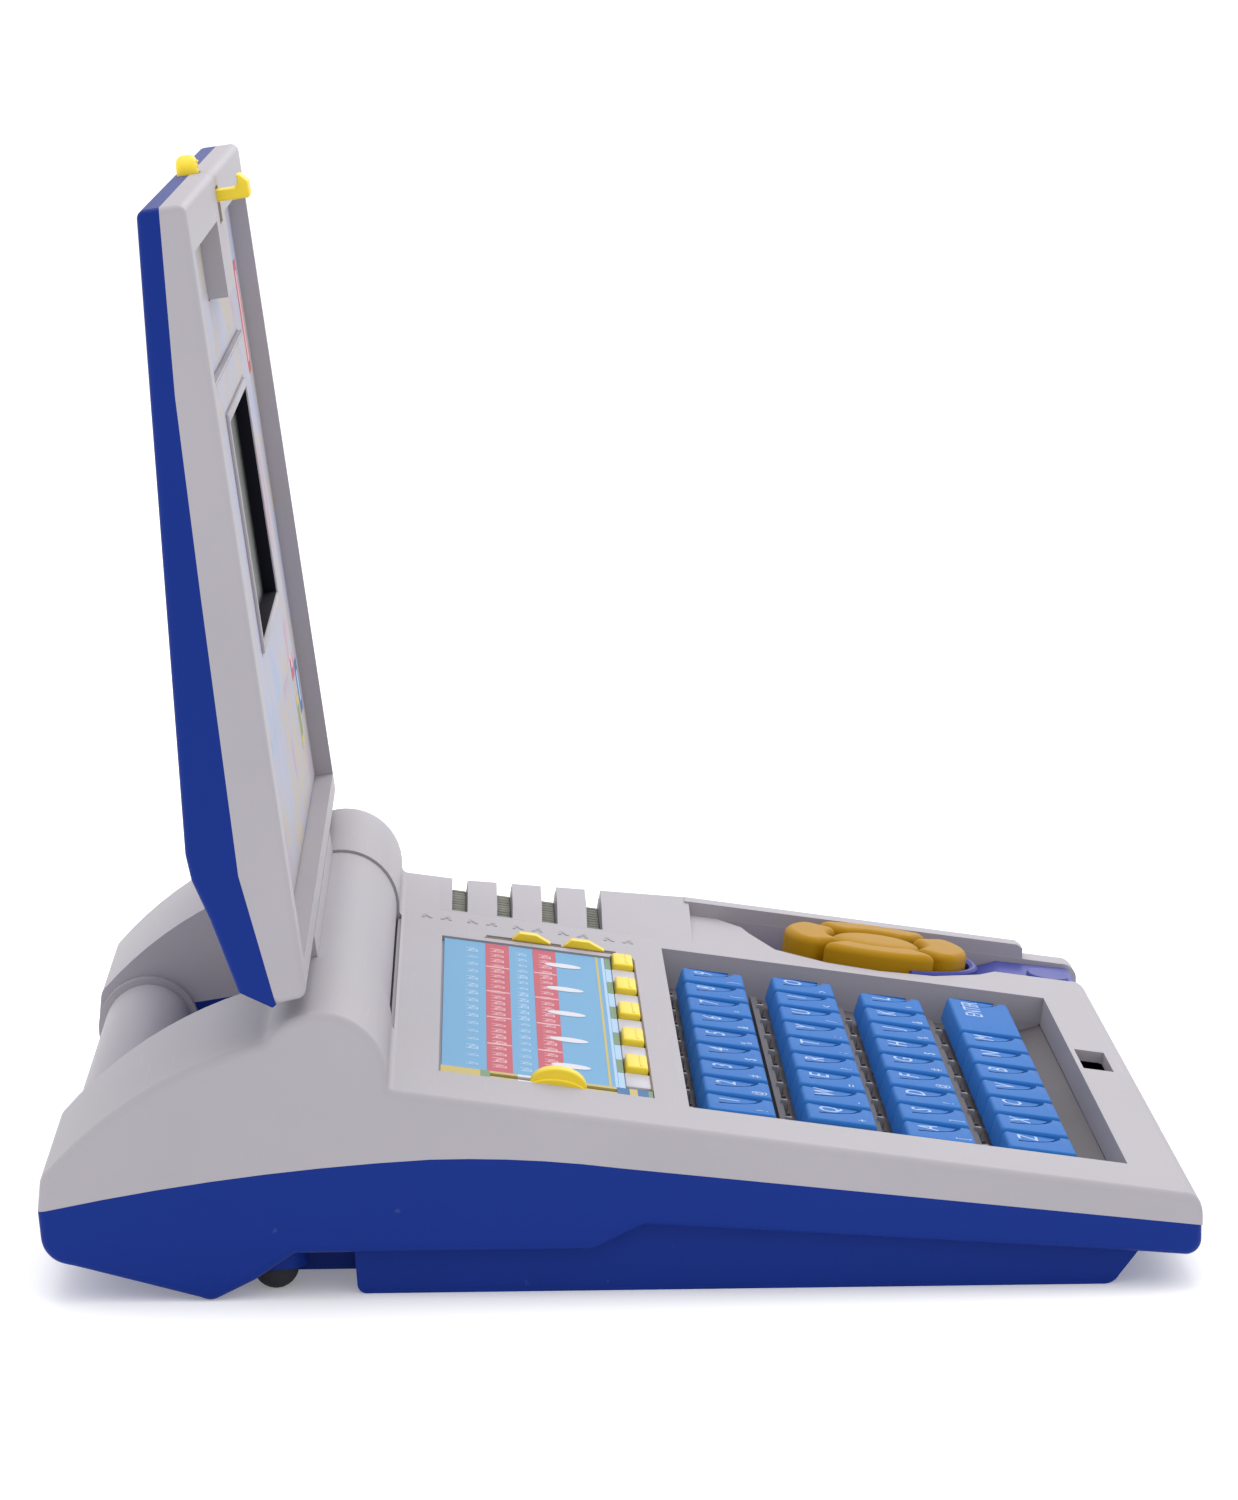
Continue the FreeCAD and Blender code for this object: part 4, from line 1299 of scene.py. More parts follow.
@dataclass
class Card:
    """The printed card, the border with its checks, and the five yellow mode buttons.

    A row of small writing is its name, v, ink, number of strokes and height. A run of the checked
    border is its rear and front v and the number of its ink.
    """

    x: Span = (-91.0, 46.4)
    top: float = -0.4
    floor: float = -1.2
    film: float = 0.05
    thin_film: float = 0.015
    bands: tuple[Span, ...] = ((20.9, 26.2), (10.4, 15.6))
    blocks: int = 5
    ovals: tuple[float, ...] = (30.7, 4.1, -22.4, -49.8, -76.0)
    oval_v: float = 8.9
    oval_half: Point = (2.3, 4.1)
    writing: tuple[tuple[str, float, Print, int, float], ...] = (
        ("rear", 29.2, Look.haze, 16, 2.6), ("upper", 23.6, Look.blush, 22, 3.0),
        ("middle", 18.2, Look.haze, 20, 2.4), ("lower", 12.9, Look.blush, 22, 2.8))
    strokes: tuple[tuple[float, float, float], ...] = (
        (-1.5, -0.5, 0.5), (-0.5, -0.35, 0.35), (0.5, -0.5, 0.2), (1.4, -0.3, 0.5))
    stroke_width: float = 0.42
    border: Span = (-97.8, -91.1)
    border_thick: float = 0.5
    slot: Span = (-95.9, -93.1)
    slot_length: Span = (1.9, 24.6)
    runs: tuple[tuple[float, float, int], ...] = (
        (35.6, 27.6, 0), (27.6, 25.6, 3), (25.6, 20.0, 0), (20.0, 14.0, 1), (14.0, 2.0, 0),
        (2.0, 0.0, 0), (0.0, -2.6, 2), (-2.6, -4.2, 0), (-4.2, -6.4, 2), (-6.4, -7.3, 3))
    mode_start: float = -67.6
    mode_pitch: float = 27.4
    mode_v: float = -4.65
    mode_count: int = 5
    mode_half: Point = (6.4, 2.3)
    spacer_gap: float = 6.95

    def film_box(self, shape: Shape, x: Span, v: Span, level: float, finish: int) -> None:
        """Adds a film of ink.

        Args:
            shape: the shape that takes it.
            x: low and high x.
            v: low and high v.
            level: the height that the film lies on.
            finish: the number of its finish.
        """
        shape.box(x, v, (level, level + self.film), finish)

    def build_print(self, row: RowRepeat) -> None:
        """Makes the card's coloured bands, ovals and dashed lines.

        Args:
            row: the tree that makes rows of copies.
        """
        dress("activity_card", Look.sky)
        ink = Shape(Place.DECK, Look.coral, Look.white, Look.blush, Look.straw, Look.haze)
        top, thick = self.top, self.film
        for low, high in self.bands:
            self.film_box(ink, (self.x[0] + 0.4, self.x[1] - 0.4), (low, high), top, 0)
            for i in range(1, self.blocks):
                x = self.x[0] + (self.x[1] - self.x[0]) * i / self.blocks
                self.film_box(ink, (x - 0.6, x + 0.6), (low + 0.1, high - 0.1), top + thick, 2)
        for x in self.ovals:
            ink.prism(oval(x, self.oval_v, *self.oval_half, 24), top + thick, top + 2 * thick, 1)
        self.film_box(ink, self.x, (0.9, 1.4), top, 3)
        self.film_box(ink, self.x, (-0.5, 0.1), top, 4)
        ink.piece("card_bands", "base", "card_print")
        for name, v, finish, count, height in self.writing:
            self.build_writing(row, name, v, finish, count, height)

    def build_writing(self, row: RowRepeat, name: str, v: float, finish: Print, count: int,
                      height: float) -> None:
        """Makes one row of short strokes that stand for small writing.

        Args:
            row: the tree that repeats them.
            name: the row's name.
            v: its middle along the deck.
            finish: its ink.
            count: how many groups of strokes it has.
            height: their height.
        """
        film, across = self.thin_film, self.thin_film * 1.6
        stroke = Shape(Place.DECK, finish)
        for at, low, high in self.strokes:
            stroke.box((at, at + self.stroke_width), (height * low, height * high), (0, film))
        for low, high in ((-0.5, -0.36), (0.08, 0.22)):
            stroke.box((-1.5, 0.2), (height * low, height * high), (0, across))
        stroke.box((0.5, 1.8), (height * -0.12, height * 0.02), (0, across))
        step = (self.x[1] - self.x[0] - 8) / count
        level = self.top + (self.film if finish is Look.blush else 0.005)
        row.piece(stroke, f"card_{name}_strokes", "base", "card_print",
                  {"Count": count, "Start": (self.x[0] + 6, v, level), "Step": (step, 0.0, 0.0),
                   "Finish": finish.material, "Length spread": 0.35, "Seed": 11 + count})

    def build_border(self) -> None:
        """Makes the checked strip along the near side, round the power slot."""
        strip = Shape(Place.DECK, Look.straw, Look.white, Look.ocean, Look.mint, Look.sky)
        low = self.floor + self.border_thick
        height = (low, low + self.border_thick)
        near, far = self.border
        for rear, front, finish in self.runs:
            if front < self.slot_length[1] and rear > self.slot_length[0]:
                for x in ((near, self.slot[0]), (self.slot[1], far)):
                    strip.box(x, (front, rear), height, finish)
            else:
                strip.box((near, far), (front, rear), height, finish)
        strip.piece("card_border_checks", "base", "card_print")

    def build_buttons(self, row: RowRepeat) -> None:
        """Makes the mode buttons, the spacers between them and the line in front.

        Args:
            row: the tree that makes rows of copies.
        """
        comb = Shape(Place.DECK, Look.yellow)
        comb.box((-76.0, 50.0), (-8.4, -1.4), (-6.0, -4.6), bevel=0.3)
        half_x, half_v = self.mode_half
        unit = Shape(Place.DECK, Look.yellow)
        unit.box((-half_x, half_x), (-half_v, half_v - 0.1), (-5.0, 0.9), bevel=0.55, segments=3)
        unit.box((-5.2, 5.2), (-1.2, -0.5), (0.8, 1.05), bevel=0.12)
        step = (self.mode_pitch, 0.0, 0.0)
        caps = row.run(unit, "caps", {
            "Count": self.mode_count, "Start": (self.mode_start, self.mode_v, 0.0), "Step": step,
            "Finish": Look.yellow.material, "Length spread": 0.0, "Seed": 1})
        comb.copy_of(caps)
        bpy.data.meshes.remove(caps)
        comb.piece("mode_button_caps", "mode_comb", "button_yellow", ("mode_buttons",))
        spacer = Shape(Place.DECK, Look.pearl)
        spacer.box((0.3, self.mode_pitch - 2 * self.spacer_gap - 0.3), (-2.7, 2.6),
                   (self.floor, -0.35), bevel=0.35)
        start = self.mode_start - self.mode_pitch + self.spacer_gap
        row.piece(spacer, "mode_spacers", "base", "card_print",
                  {"Count": self.mode_count, "Start": (start, self.mode_v, 0.0), "Step": step,
                   "Finish": Look.pearl.material, "Length spread": 0.0, "Seed": 1})
        line = Shape(Place.DECK, Look.ochre, Look.haze, Look.mint)
        line.box((-91.0, 46.6), (-7.45, -7.25), (self.floor, self.floor + 1.1))
        line.box((-90.8, 46.6), (-1.95, -0.65), (self.floor, self.top - 0.1), 1)
        # mint films in the gap just behind each cap: painted shade
        for i in range(self.mode_count):
            x = self.mode_start + self.mode_pitch * i
            line.box((x - 7.4, x + 5.0), (-1.9, -0.7), (self.top - 0.12, self.top - 0.02), 2)
        line.piece("card_front_line", "base", "card_print")

    def build(self, row: RowRepeat) -> None:
        """Makes the card and its buttons.

        Args:
            row: the tree that makes rows of copies.
        """
        self.build_print(row)
        self.build_border()
        self.build_buttons(row)


@dataclass
class Pad:
    """Four gold arcs round a domed oval, with the wall and thumb scoop of their tray."""

    x: float = 95.5
    v: float = -65.5
    half: Point = (17.5, 21.5)
    hole: Point = (9.0, 11.2)
    top: float = 3.6
    low: float = -3.6
    slit: float = 0.85
    slit_angle: float = 51.0
    round_off: float = 1.9
    arc_corner: float = 2.6
    oval_half: Point = (8.3, 10.5)
    dome_rise: float = 2.0
    stem_half: float = 1.5
    stem_foot: float = -8.4
    stems: tuple[Point, ...] = ((-13.2, 0), (13.2, 0), (0, -16.0), (0, 16.0))
    wall: tuple[Point, ...] = (
        (1.0, -5.6), (1.0, -0.2), (1.7, 0.3), (2.4, 0.3), (2.9, -0.2), (2.9, -5.6))
    wall_turn: Span = (198, 324)
    channel: tuple[Point, ...] = (
        (-113.4, -5.5), (-89.5, -5.5), (-91.5, -3.0), (-96.0, -1.2), (-113.2, -0.8))
    channel_width: Span = (92.0, 112.6)
    scoop_at: Point = (99.0, -107.0)
    scoop_squash: float = 0.75
    scoop: tuple[Point, ...] = (
        (6.6, -2.3), (6.6, -0.6), (6.2, -0.2), (5.6, -0.3), (4.0, -0.55), (1.5, -0.65))

    def arc(self, start: float, end: float, inset: float) -> list[Point]:
        """One arc's outline, with round corners.

        Args:
            start: where it starts, in degrees from +x.
            end: where it ends.
            inset: how far the outline lies inside the arc's own.

        Returns:
            Its points.
        """
        middle = math.radians((start + end) / 2)
        inner, outer = ellipse_radius(*self.hole, middle), ellipse_radius(*self.half, middle)
        reach, thick = (outer + inner) / 2, outer - inner
        length = reach * math.radians(end - start)
        edge = self.slit + inset
        flat = rounded_outline((edge, length - edge), (inset, thick - inset),
                               max(self.arc_corner - inset, 0.4), 6, 14)
        outline = []
        for along, across in flat:
            a = math.radians(start) + along / reach
            inner, outer = ellipse_radius(*self.hole, a), ellipse_radius(*self.half, a)
            radius = inner + (outer - inner) * across / thick
            outline.append((self.x + radius * math.cos(a), self.v + radius * math.sin(a)))
        return outline

    def stem(self, shape: Shape, dx: float, dv: float) -> None:
        """Adds a square stem below a gold piece.

        Args:
            shape: the piece.
            dx: the stem's place across the deck from the pad's middle.
            dv: its place along the deck.
        """
        x, v, half = self.x + dx, self.v + dv, self.stem_half
        shape.box((x - half, x + half), (v - half, v + half), (self.stem_foot, self.low + 0.2), bevel=0.5)

    def build_ring(self) -> None:
        """Makes the four arcs on their common plate."""
        ring = Shape(Place.DECK, Look.gold)
        turn, round_off = self.slit_angle, self.round_off
        levels = [(self.low, 0.0), (self.top - round_off, 0.0)]
        levels += [(self.top - round_off * (1 - math.sin(a)), round_off * (1 - math.cos(a)))
                   for a in sweep(15, 75, 4)]
        levels += [(self.top, round_off * 1.05)]
        for start, end in ((-turn, turn), (turn, 180 - turn), (180 - turn, 180 + turn),
                           (180 + turn, 360 - turn)):
            ring.rings([at_height(self.arc(start, end, inset), w) for w, inset in levels])
        ring.prism([(self.x + 1.02 * ellipse_radius(*self.hole, a) * math.cos(a),
                     self.v + 1.02 * ellipse_radius(*self.hole, a) * math.sin(a))
                    for a in sweep(0, 350, 35)], self.low + 0.2, self.low + 1.0)
        for dx, dv in self.stems:
            self.stem(ring, dx, dv)
        ring.piece("pad_arcs", "pad_ring", "pad_gold", ("dpad_ring",), angle=50)

    def build_oval(self) -> None:
        """Makes the domed button in the middle."""
        dome = Shape(Place.DECK, Look.gold)
        spring_line = self.top - self.dome_rise
        levels = [(self.low, 1.0), (spring_line, 1.0)]
        levels += [(spring_line + (self.dome_rise - 0.1) * math.sin(a), 0.40 + 0.60 * math.cos(a) ** 0.8)
                   for a in (math.radians(90 * i / 8.6) for i in range(1, 9))]
        half_x, half_v = self.oval_half
        dome.rings([at_height(oval(self.x, self.v, half_x * scale, half_v * scale, 48), w)
                    for w, scale in levels])
        self.stem(dome, 0, 0)
        dome.piece("pad_oval", "pad_centre", "pad_gold", ("dpad_centre",), angle=50)

    def build_tray(self) -> None:
        """Makes the violet wall round the pad, the channel and its round thumb scoop."""
        wall = Shape(Place.DECK, Look.violet)
        part = bmesh.new()
        rings = [[part.verts.new((self.x + (self.half[0] + grow) * math.cos(a),
                                  self.v + (self.half[1] + grow) * math.sin(a), w))
                  for a in sweep(*self.wall_turn, 21)] for grow, w in self.wall]
        for a, b in zip(rings, rings[1:] + rings[:1]):
            for i in range(len(a) - 1):
                part.faces.new((a[i], a[i + 1], b[i + 1], b[i]))
        for end in (0, -1):
            part.faces.new([ring[end] for ring in rings])
        wall.adopt(part)
        wall.piece("pad_wall", "base", "tray_violet")
        channel = Shape(Place.DECK, Look.violet)
        channel.prism(self.channel, *self.channel_width, round_top=0.4, axis="x")
        channel.piece("tray_channel", "base", "tray_violet")
        scoop = Shape(Place.DECK, Look.violet)
        scoop.rings([at_height(oval(*self.scoop_at, radius, self.scoop_squash * radius, 36), w)
                     for radius, w in self.scoop])
        scoop.piece("thumb_scoop", "base", "tray_violet")

    def build(self) -> None:
        """Makes the pad and its tray."""
        self.build_ring()
        self.build_oval()
        self.build_tray()


@dataclass
class Sliders:
    """The power, volume and contrast thumb pieces and their slots.

    A low thumb piece is its name, v and half its length.
    """

    power_at: Point = (-94.5, 11.8)
    power_half: float = 5.8
    power_floor: float = -1.2
    power_tall: float = 4.3
    low_x: float = 53.0
    low_pieces: tuple[tuple[str, float, float], ...] = (("volume", 15.8, 4.4), ("contrast", 3.8, 4.6))
    low_tall: float = 1.8
    lean: float = 0.5

    def dome(self, x: float, v: float, half: float, base: float, tall: float) -> Shape:
        """A half-moon thumb piece with a lip along its foot.

        Args:
            x: its middle across the deck.
            v: its middle along the deck.
            half: half its length.
            base: the height that it stands on.
            tall: its height.

        Returns:
            The shape.
        """
        shape = Shape(Place.DECK, Look.yellow)
        outline = [(v + half * math.cos(a), base + 0.15 + (tall - 0.15) * math.sin(a) ** 0.9)
                   for a in sweep(0, 180, 20)]
        shape.prism(outline, x - 1.9, x + 1.9, round_top=0.5, segments=3, axis="x")
        lip = [(v + half * 0.98 * math.cos(a), base + 0.1 + 0.5 * tall * math.sin(a))
               for a in sweep(0, 180, 16)]
        shape.prism(lip, x - 2.9, x + 2.5, round_top=0.35, segments=3, axis="x")
        return shape

    def wedge(self, x: float, v: float, half: float, tall: float, lean: float) -> Shape:
        """A low wedge-shaped thumb piece.

        Args:
            x: its middle across the deck.
            v: its middle along the deck.
            half: half its length.
            tall: its height.
            lean: where its top sits, from -1 at the front to 1 at the rear.

        Returns:
            The shape.
        """
        shape = Shape(Place.DECK, Look.yellow)
        peak, flat, foot = v + lean * half * 0.45, half * 0.42, half * 0.98
        outline = [(v + half, 0.1), (v + foot, 0.35), (peak + flat, tall), (peak - flat, tall),
                   (v - foot, 0.35), (v - half, 0.1)]
        shape.prism(outline, x - 1.5, x + 1.5, round_top=0.35, segments=3, axis="x")
        return shape

    def finish(self, name: str, shape: Shape, x: float, v: float, base: float) -> None:
        """Args:
            name: the slider's name.
            shape: the thumb piece.
            x: its middle across the deck.
            v: its middle along the deck.
            base: the height that it stands on.
        """
        shape.box((x - 1.0, x + 1.0), (v - 2.0, v + 2.0), (-3.4, base + 0.6))
        shape.box((x - 2.5, x + 2.5), (v - 3.0, v + 3.0), (-4.2, -2.8), bevel=0.3)
        shape.piece(name + "_thumb", name + "_knob", "button_yellow", (name + "_slider",), angle=40)

    def build(self) -> None:
        """Makes the three sliders, and a thin ochre strip of painted shade where the groove that two of them
        run in lies.
        """
        x, v = self.power_at
        dome = self.dome(x, v, self.power_half, self.power_floor, self.power_tall)
        self.finish("power", dome, x, v, self.power_floor)
        for name, v, half in self.low_pieces:
            wedge = self.wedge(self.low_x, v, half, self.low_tall, self.lean)
            self.finish(name, wedge, self.low_x, v, 0.0)
        # a raised ochre strip, not a cut: painted shade of the groove
        groove = Shape(Place.DECK, Look.ochre)
        groove.box((50.9, 51.5), (-4.4, 26.4), (-0.05, 0.12))
        groove.piece("slider_groove", "base", "card_print")


@dataclass
class DeckMarks:
    """The speaker's ribs inside the slots, and the arrow marks beside them."""

    slot_start: float = 32.1
    slot_pitch: float = 10.45
    slots: int = 4
    rib_half: Point = (1.2, 1.75)
    rib_span: Span = (-4.6, -1.9)
    rib_start: float = 82.0
    rib_pitch: float = 3.1
    ribs: int = 12
    arrow: tuple[Point, ...] = ((-0.2, 1.35), (2.6, 0.35), (2.6, -0.35), (-0.2, -1.35), (-0.2, -0.6),
                                (1.6, 0.0), (-0.2, 0.6))
    arrow_stretch: Point = (1.5, 0.95)
    arrow_gap: float = 4.4
    arrow_slant: float = 0.2
    arrow_at: Point = (66.4, 39.6)
    arrow_span: Span = (-0.05, 0.12)

    def build(self, row: RowRepeat) -> None:
        """Makes the ribs and the marks.

        Args:
            row: the tree that makes rows of copies.
        """
        (half_x, half_v), (wide, long) = self.rib_half, self.arrow_stretch
        for i in range(self.slots):
            rib = Shape(Place.DECK, Look.grille)
            rib.box((-half_x, half_x), (-half_v, half_v), self.rib_span, bevel=0.45)
            row.piece(rib, f"speaker_ribs_{i + 1}", "base", "shell_grey",
                      {"Count": self.ribs,
                       "Start": (self.rib_start, self.slot_start - self.slot_pitch * i, 0.0),
                       "Step": (self.rib_pitch, 0.0, 0.0), "Finish": Look.grille.material,
                       "Length spread": 0.25, "Seed": 20 + i})
        pair = Shape(Place.DECK, Look.mark)
        for shift, way in ((0.0, 1), (-self.arrow_gap, -1)):
            pair.prism([(x * wide, y * long + shift + way * self.arrow_slant * x)
                        for x, y in self.arrow], *self.arrow_span)
        row.piece(pair, "arrow_marks", "base", "shell_grey",
                  {"Count": self.slots + 1, "Start": (*self.arrow_at, 0.0),
                   "Step": (0.0, -self.slot_pitch, 0.0), "Finish": Look.mark.material,
                   "Length spread": 0.0, "Seed": 1})
        dress("speaker", Look.cone)


@dataclass
class LidFittings:
    """The printed sheet with its icons, the screen and its frame, and the latch.

    An icon is its low and high x, its low and high s, and the number of its ink. A printed field of
    the screen surround is its spans in x and s.
    """

    icons: tuple[tuple[float, float, float, float, int], ...] = (
        (84.0, 96.0, 34.0, 46.0, 0), (84.0, 96.0, 50.0, 62.0, 1), (84.0, 96.0, 66.0, 78.0, 2),
        (84.0, 96.0, 82.0, 94.0, 3), (84.0, 96.0, 98.0, 110.0, 4), (84.0, 96.0, 114.0, 126.0, 5),
        (100.0, 110.0, 40.0, 52.0, 2), (100.0, 110.0, 120.0, 146.0, 1), (-108.0, -86.0, 36.0, 44.0, 0),
        (-108.0, -86.0, 50.0, 58.0, 4))
    icon_rim: float = 2.5
    sheet_t: float = 4.2
    screen_x: Span = (-42.0, 42.0)
    screen_s: Span = (76.0, 122.0)
    rim: float = 2.0
    rim_span: Span = (2.2, 3.1)
    shadow_lip: float = 0.25
    shadow_lip_span: Span = (2.6, 5.5)
    fields: tuple[tuple[Span, Span], ...] = (
        ((-77.4, -44.6), (58.6, 131.4)), ((44.6, 75.4), (58.6, 131.4)), ((-44.6, 44.6), (58.6, 73.4)),
        ((-44.6, 44.6), (124.6, 131.4)))
    field_span: Span = (2.92, 3.0)
    tab_half: float = 4.7
    tab_foot: float = 162.5
    tab_bend: float = 171.6
    tab_rise: float = 4.1
    tab_span: Span = (3.3, 7.7)
    tab_round: float = 1.5
    grips: Span = (173.0, 174.1)
    hook: tuple[Point, ...] = (
        (5.0, 165.2), (5.0, 167.6), (-3.9, 167.6), (-4.6, 168.4), (-4.7, 170.3), (-5.3, 170.3),
        (-6.9, 168.7), (-7.0, 165.7), (-6.6, 165.2))

    def build(self) -> None:
        """Makes the lid's fittings."""
        dress("lid_decal", Look.pastel)
        dress("lcd_panel", Look.glass)
        inks = (Look.straw, Look.coral, Look.ocean, Look.mint, Look.blush, Look.haze)
        film, face, rim = Shape(Place.LID, *inks), self.sheet_t, self.icon_rim
        for x0, x1, s0, s1, ink in self.icons:
            film.box((x0, x1), (face - 0.06, face), (s0, s1), ink)
            film.box((x0 + rim, x1 - rim), (face - 0.1, face - 0.05), (s0 + rim, s1 - rim),
                     (ink + 3) % len(inks))
        film.piece("lid_icons", "lid", "lid_print")
        self.build_screen()
        self.build_latch()

    def build_screen(self) -> None:
        """Makes the stepped frame round the screen, with a near-black lining inside it that is painted
        shadow.
        """
        (x0, x1), (s0, s1), wide, lip = self.screen_x, self.screen_s, self.rim, self.shadow_lip
        rim = Shape(Place.LID, Look.shell_grey, Look.pastel)
        for x, s in (((x0 - wide, x0), (s0 - wide, s1 + wide)), ((x1, x1 + wide), (s0 - wide, s1 + wide)),
                     ((x0, x1), (s0 - wide, s0)), ((x0, x1), (s1, s1 + wide))):
            rim.box(x, self.rim_span, s, bevel=0.35)
        rim.piece("screen_rim", "lid", "shell_grey")
        # near-black strips round the inside of the opening: painted shadow on its walls
        liner = Shape(Place.LID, Look.dark)
        for x, s in (((x0, x0 + lip), (s0, s1)), ((x1 - lip, x1), (s0, s1)), ((x0, x1), (s0, s0 + lip)),
                     ((x0, x1), (s1 - lip, s1))):
            liner.box(x, self.shadow_lip_span, s, bevel=0.05)
        liner.piece("screen_gasket", "lid", "shell_grey")
        face = Shape(Place.LID, Look.pastel)
        for x, s in self.fields:
            face.box(x, self.field_span, s)
        face.piece("screen_surround_print", "lid", "lid_print")

    def build_latch(self) -> None:
        """Makes the latch: a rounded thumb tab on top of the lid, and a barbed hook on its face."""
        latch = Shape(Place.LID, Look.yellow)
        half, foot = self.tab_half, self.tab_foot
        tab = [(half * math.cos(a), self.tab_bend + self.tab_rise * math.sin(a)) for a in sweep(0, 180, 12)]
        tab += [(-half, foot), (half, foot)]
        plate = bmesh.new()
        front, back = ([plate.verts.new((x, t, s)) for x, s in tab] for t in self.tab_span)
        faces = [plate.faces.new(front), plate.faces.new(list(reversed(back)))]
        for i in range(len(tab)):
            j = (i + 1) % len(tab)
            plate.faces.new((front[j], front[i], back[i], back[j]))
        bmesh.ops.recalc_face_normals(plate, faces=plate.faces)
        bmesh.ops.bevel(plate, geom=list({e for f in faces for e in f.edges}), offset=self.tab_round,
                        segments=4, profile=0.5, affect="EDGES", clamp_overlap=True)
        latch.adopt(plate)
        for s in self.grips:
            latch.box((-2.0, 2.0), (3.05, 3.6), (s - 0.2, s + 0.2), bevel=0.1)
        latch.prism(self.hook, -half, half, round_top=0.45, segments=3, axis="x")
        latch.piece("latch_hook", "latch_piece", "button_yellow", ("latch",), angle=40)


@dataclass
class Underside:
    """Screws, feet, the battery door with its grip, and the cells with their contacts.

    A screw's profile is its radius and height, from the head's rim up to the tip.
    """

    screws: tuple[tuple[float, float, float], ...] = (
        (-109, -80, 0.0), (-109, 30, 0.0), (104, -12, 0.0), (77, -94, 0.0), (-93, 88, 2.2),
        (93, 88, 2.2))
    screw: tuple[Point, ...] = ((1.9, 3.32), (2.5, 3.6), (2.75, 4.1), (2.75, 4.9), (1.3, 5.1),
                                (1.3, 16.2), (0.4, 16.9))
    cross: Point = (1.7, 0.35)
    cross_span: Span = (2.6, 4.3)
    ribs: int = 5
    rib_half: Point = (9.0, 0.35)
    rib_span: Span = (0.02, 0.26)
    rib_start: float = 36.0
    rib_pitch: float = 1.7

    def build_screws(self, spots: SpotRepeat) -> None:
        """Makes the case screws with a cross in each head.

        Args:
            spots: the tree that puts copies on spots.
        """
        long, short = self.cross
        head = Shape(Place.BODY, Look.steel)
        head.rings([at_height(oval(0, 0, radius, radius, 24), z) for radius, z in self.screw])
        made = head.data("head")
        for x, y in ((long, short), (short, long)):
            slot = Shape(Place.BODY, Look.steel)
            slot.box((-x, x), (-y, y), self.cross_span)
            made = carved(made, slot.data("slot"))
        unit = Shape(Place.BODY, Look.steel)
        unit.copy_of(made)
        bpy.data.meshes.remove(made)
        where = spots.spots(self.screws)
        spots.piece(unit, "screw_set", "base", "screw_steel",
                    {"Spots": where, "Turn spread": 1.4, "Seed": 9, "Finish": Look.steel.material},
                    ("case_screws",))
        bpy.data.objects.remove(where)

    def build_power(self, row: RowRepeat) -> None:
        """Makes the battery door's grip ribs, and dresses the cells and their contacts.

        Args:
            row: the tree that makes rows of copies.
        """
        skin("battery_door", Look.shell_blue, "base")
        half_x, half_y = self.rib_half
        rib = Shape(Place.BODY, Look.shell_blue)
        rib.box((-half_x, half_x), (-half_y, half_y), self.rib_span, bevel=0.1)
        row.piece(rib, "door_grip_ribs", "base", "shell_blue",
                  {"Count": self.ribs, "Start": (0.0, self.rib_start, 0.0),
                   "Step": (0.0, self.rib_pitch, 0.0), "Finish": Look.shell_blue.material,
                   "Length spread": 0.0, "Seed": 1})
        dress("batteries", Look.jacket)
        dress("battery_contacts", Look.spring)

    def build(self, row: RowRepeat, spots: SpotRepeat) -> None:
        """Makes the underside.

        Args:
            row: the tree that makes rows of copies.
            spots: the tree that puts copies on spots.
        """
        self.build_screws(spots)
        self.build_power(row)
        skin("rubber_feet", Look.rubber, "base")


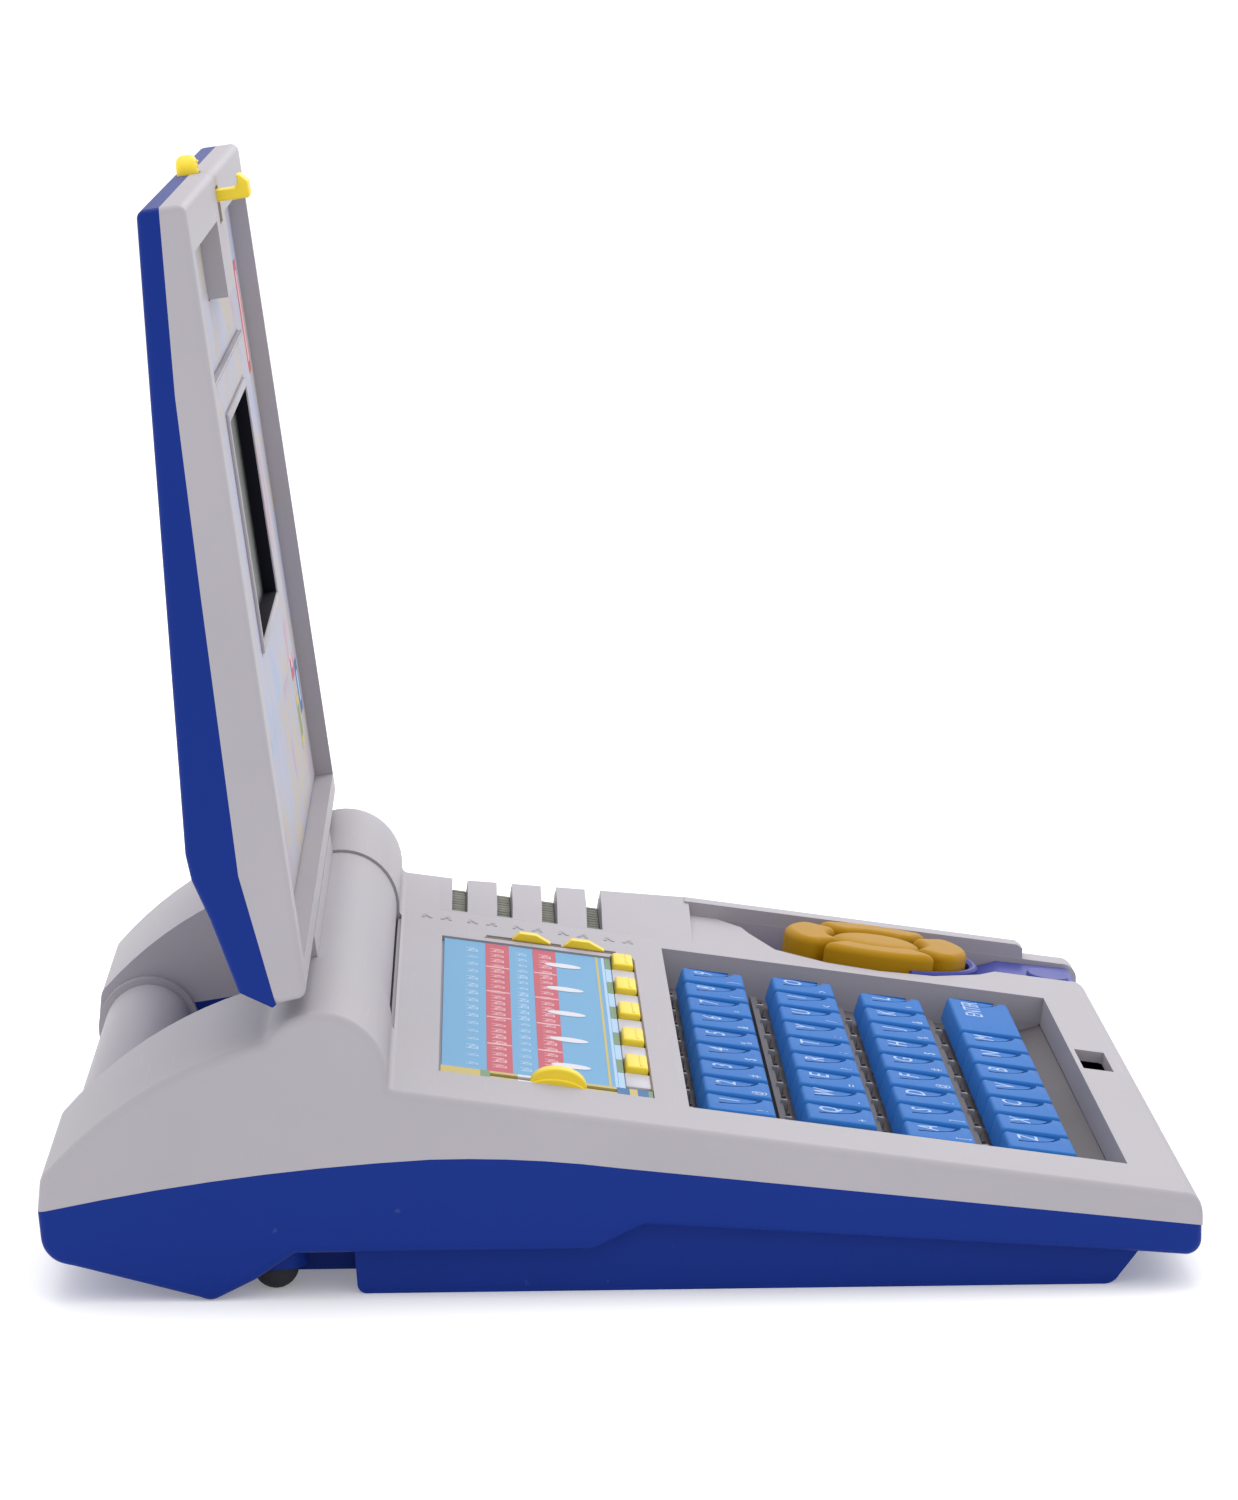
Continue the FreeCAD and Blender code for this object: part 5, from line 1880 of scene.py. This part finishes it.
@dataclass
class Studio:
    """Pale floor, soft lights and the camera."""

    focal: float = 5659.04
    long_side: float = 1500.0
    turn: float = 0.024614
    dip: float = 0.154150
    roll: float = 0.0070981
    camera_at: tuple[float, float, float] = (-1201.955, 26.4135, 276.0418)

    def build_camera(self) -> None:
        """Makes the scene's camera."""
        forward = Vector((math.cos(self.dip) * math.cos(self.turn), -math.cos(self.dip) * math.sin(self.turn),
                          -math.sin(self.dip)))
        right = Vector((-math.sin(self.turn), -math.cos(self.turn), 0.0))
        down = forward.cross(right)
        across = math.cos(self.roll) * right + math.sin(self.roll) * down
        below = -math.sin(self.roll) * right + math.cos(self.roll) * down
        turn = Matrix((across, -below, -forward)).transposed()
        data = bpy.data.cameras.new("camera")
        data.sensor_width = data.sensor_height = 36.0
        data.sensor_fit = "AUTO"
        data.lens = self.focal / self.long_side * 36.0
        data.clip_end = 90.0
        camera = bpy.data.objects.new("camera", data)
        camera.matrix_world = Matrix.Translation(Vector(self.camera_at) * MM) @ turn.to_4x4()
        bpy.context.scene.collection.objects.link(camera)
        bpy.context.scene.camera = camera

    def light(self, name: str, at: Sequence[float], size: float, power: float, colour: Colour) -> None:
        """Adds a soft square light that looks at the object.

        Args:
            name: the light's name.
            at: its place in metres.
            size: its width in metres.
            power: its power in watts.
            colour: its colour.
        """
        data = bpy.data.lights.new(name, "AREA")
        data.size, data.energy, data.color = size, power, linear(colour)[:3]
        lamp = bpy.data.objects.new(name, data)
        way = Vector((0, 0, 0.08)) - Vector(at)
        lamp.matrix_world = Matrix.Translation(Vector(at)) @ way.to_track_quat("-Z", "Y").to_matrix().to_4x4()
        bpy.context.scene.collection.objects.link(lamp)

    def build(self) -> None:
        """Makes the studio."""
        scene = bpy.context.scene
        scene.view_settings.view_transform = "Standard"
        world = bpy.data.worlds.new("studio")
        world.use_nodes = True
        ground = world.node_tree.nodes["Background"]
        ground.inputs["Color"].default_value = (1.0, 1.0, 1.0, 1.0)
        ground.inputs["Strength"].default_value = 1.0
        scene.world = world
        self.light("overhead", (0.35, 0.1, 1.5), 1.1, 9.0, (255, 253, 250))
        self.light("far side", (1.3, -0.5, 0.9), 0.9, 5.0, (250, 250, 255))
        floor = Shape(Place.BODY, Backdrop("floor white", (250, 250, 250)))
        floor.box((-40000, 40000), (-40000, 40000), (-6.0, -0.05))
        data = floor.data("floor")
        data.transform(Place.BODY.matrix)
        obj = bpy.data.objects.new("floor", data)
        scene.collection.objects.link(obj)
        self.build_camera()


def main() -> None:
    """Builds every sub-assembly in order."""
    logging.basicConfig(level=logging.INFO, format="%(message)s")
    row, spots = RowRepeat(), SpotRepeat()
    Studio().build()
    Shells().build()
    Keyboard().build(row)
    Card().build(row)
    Pad().build()
    Sliders().build()
    DeckMarks().build(row)
    LidFittings().build()
    Underside().build(row, spots)


if __name__ == "__main__":
    main()
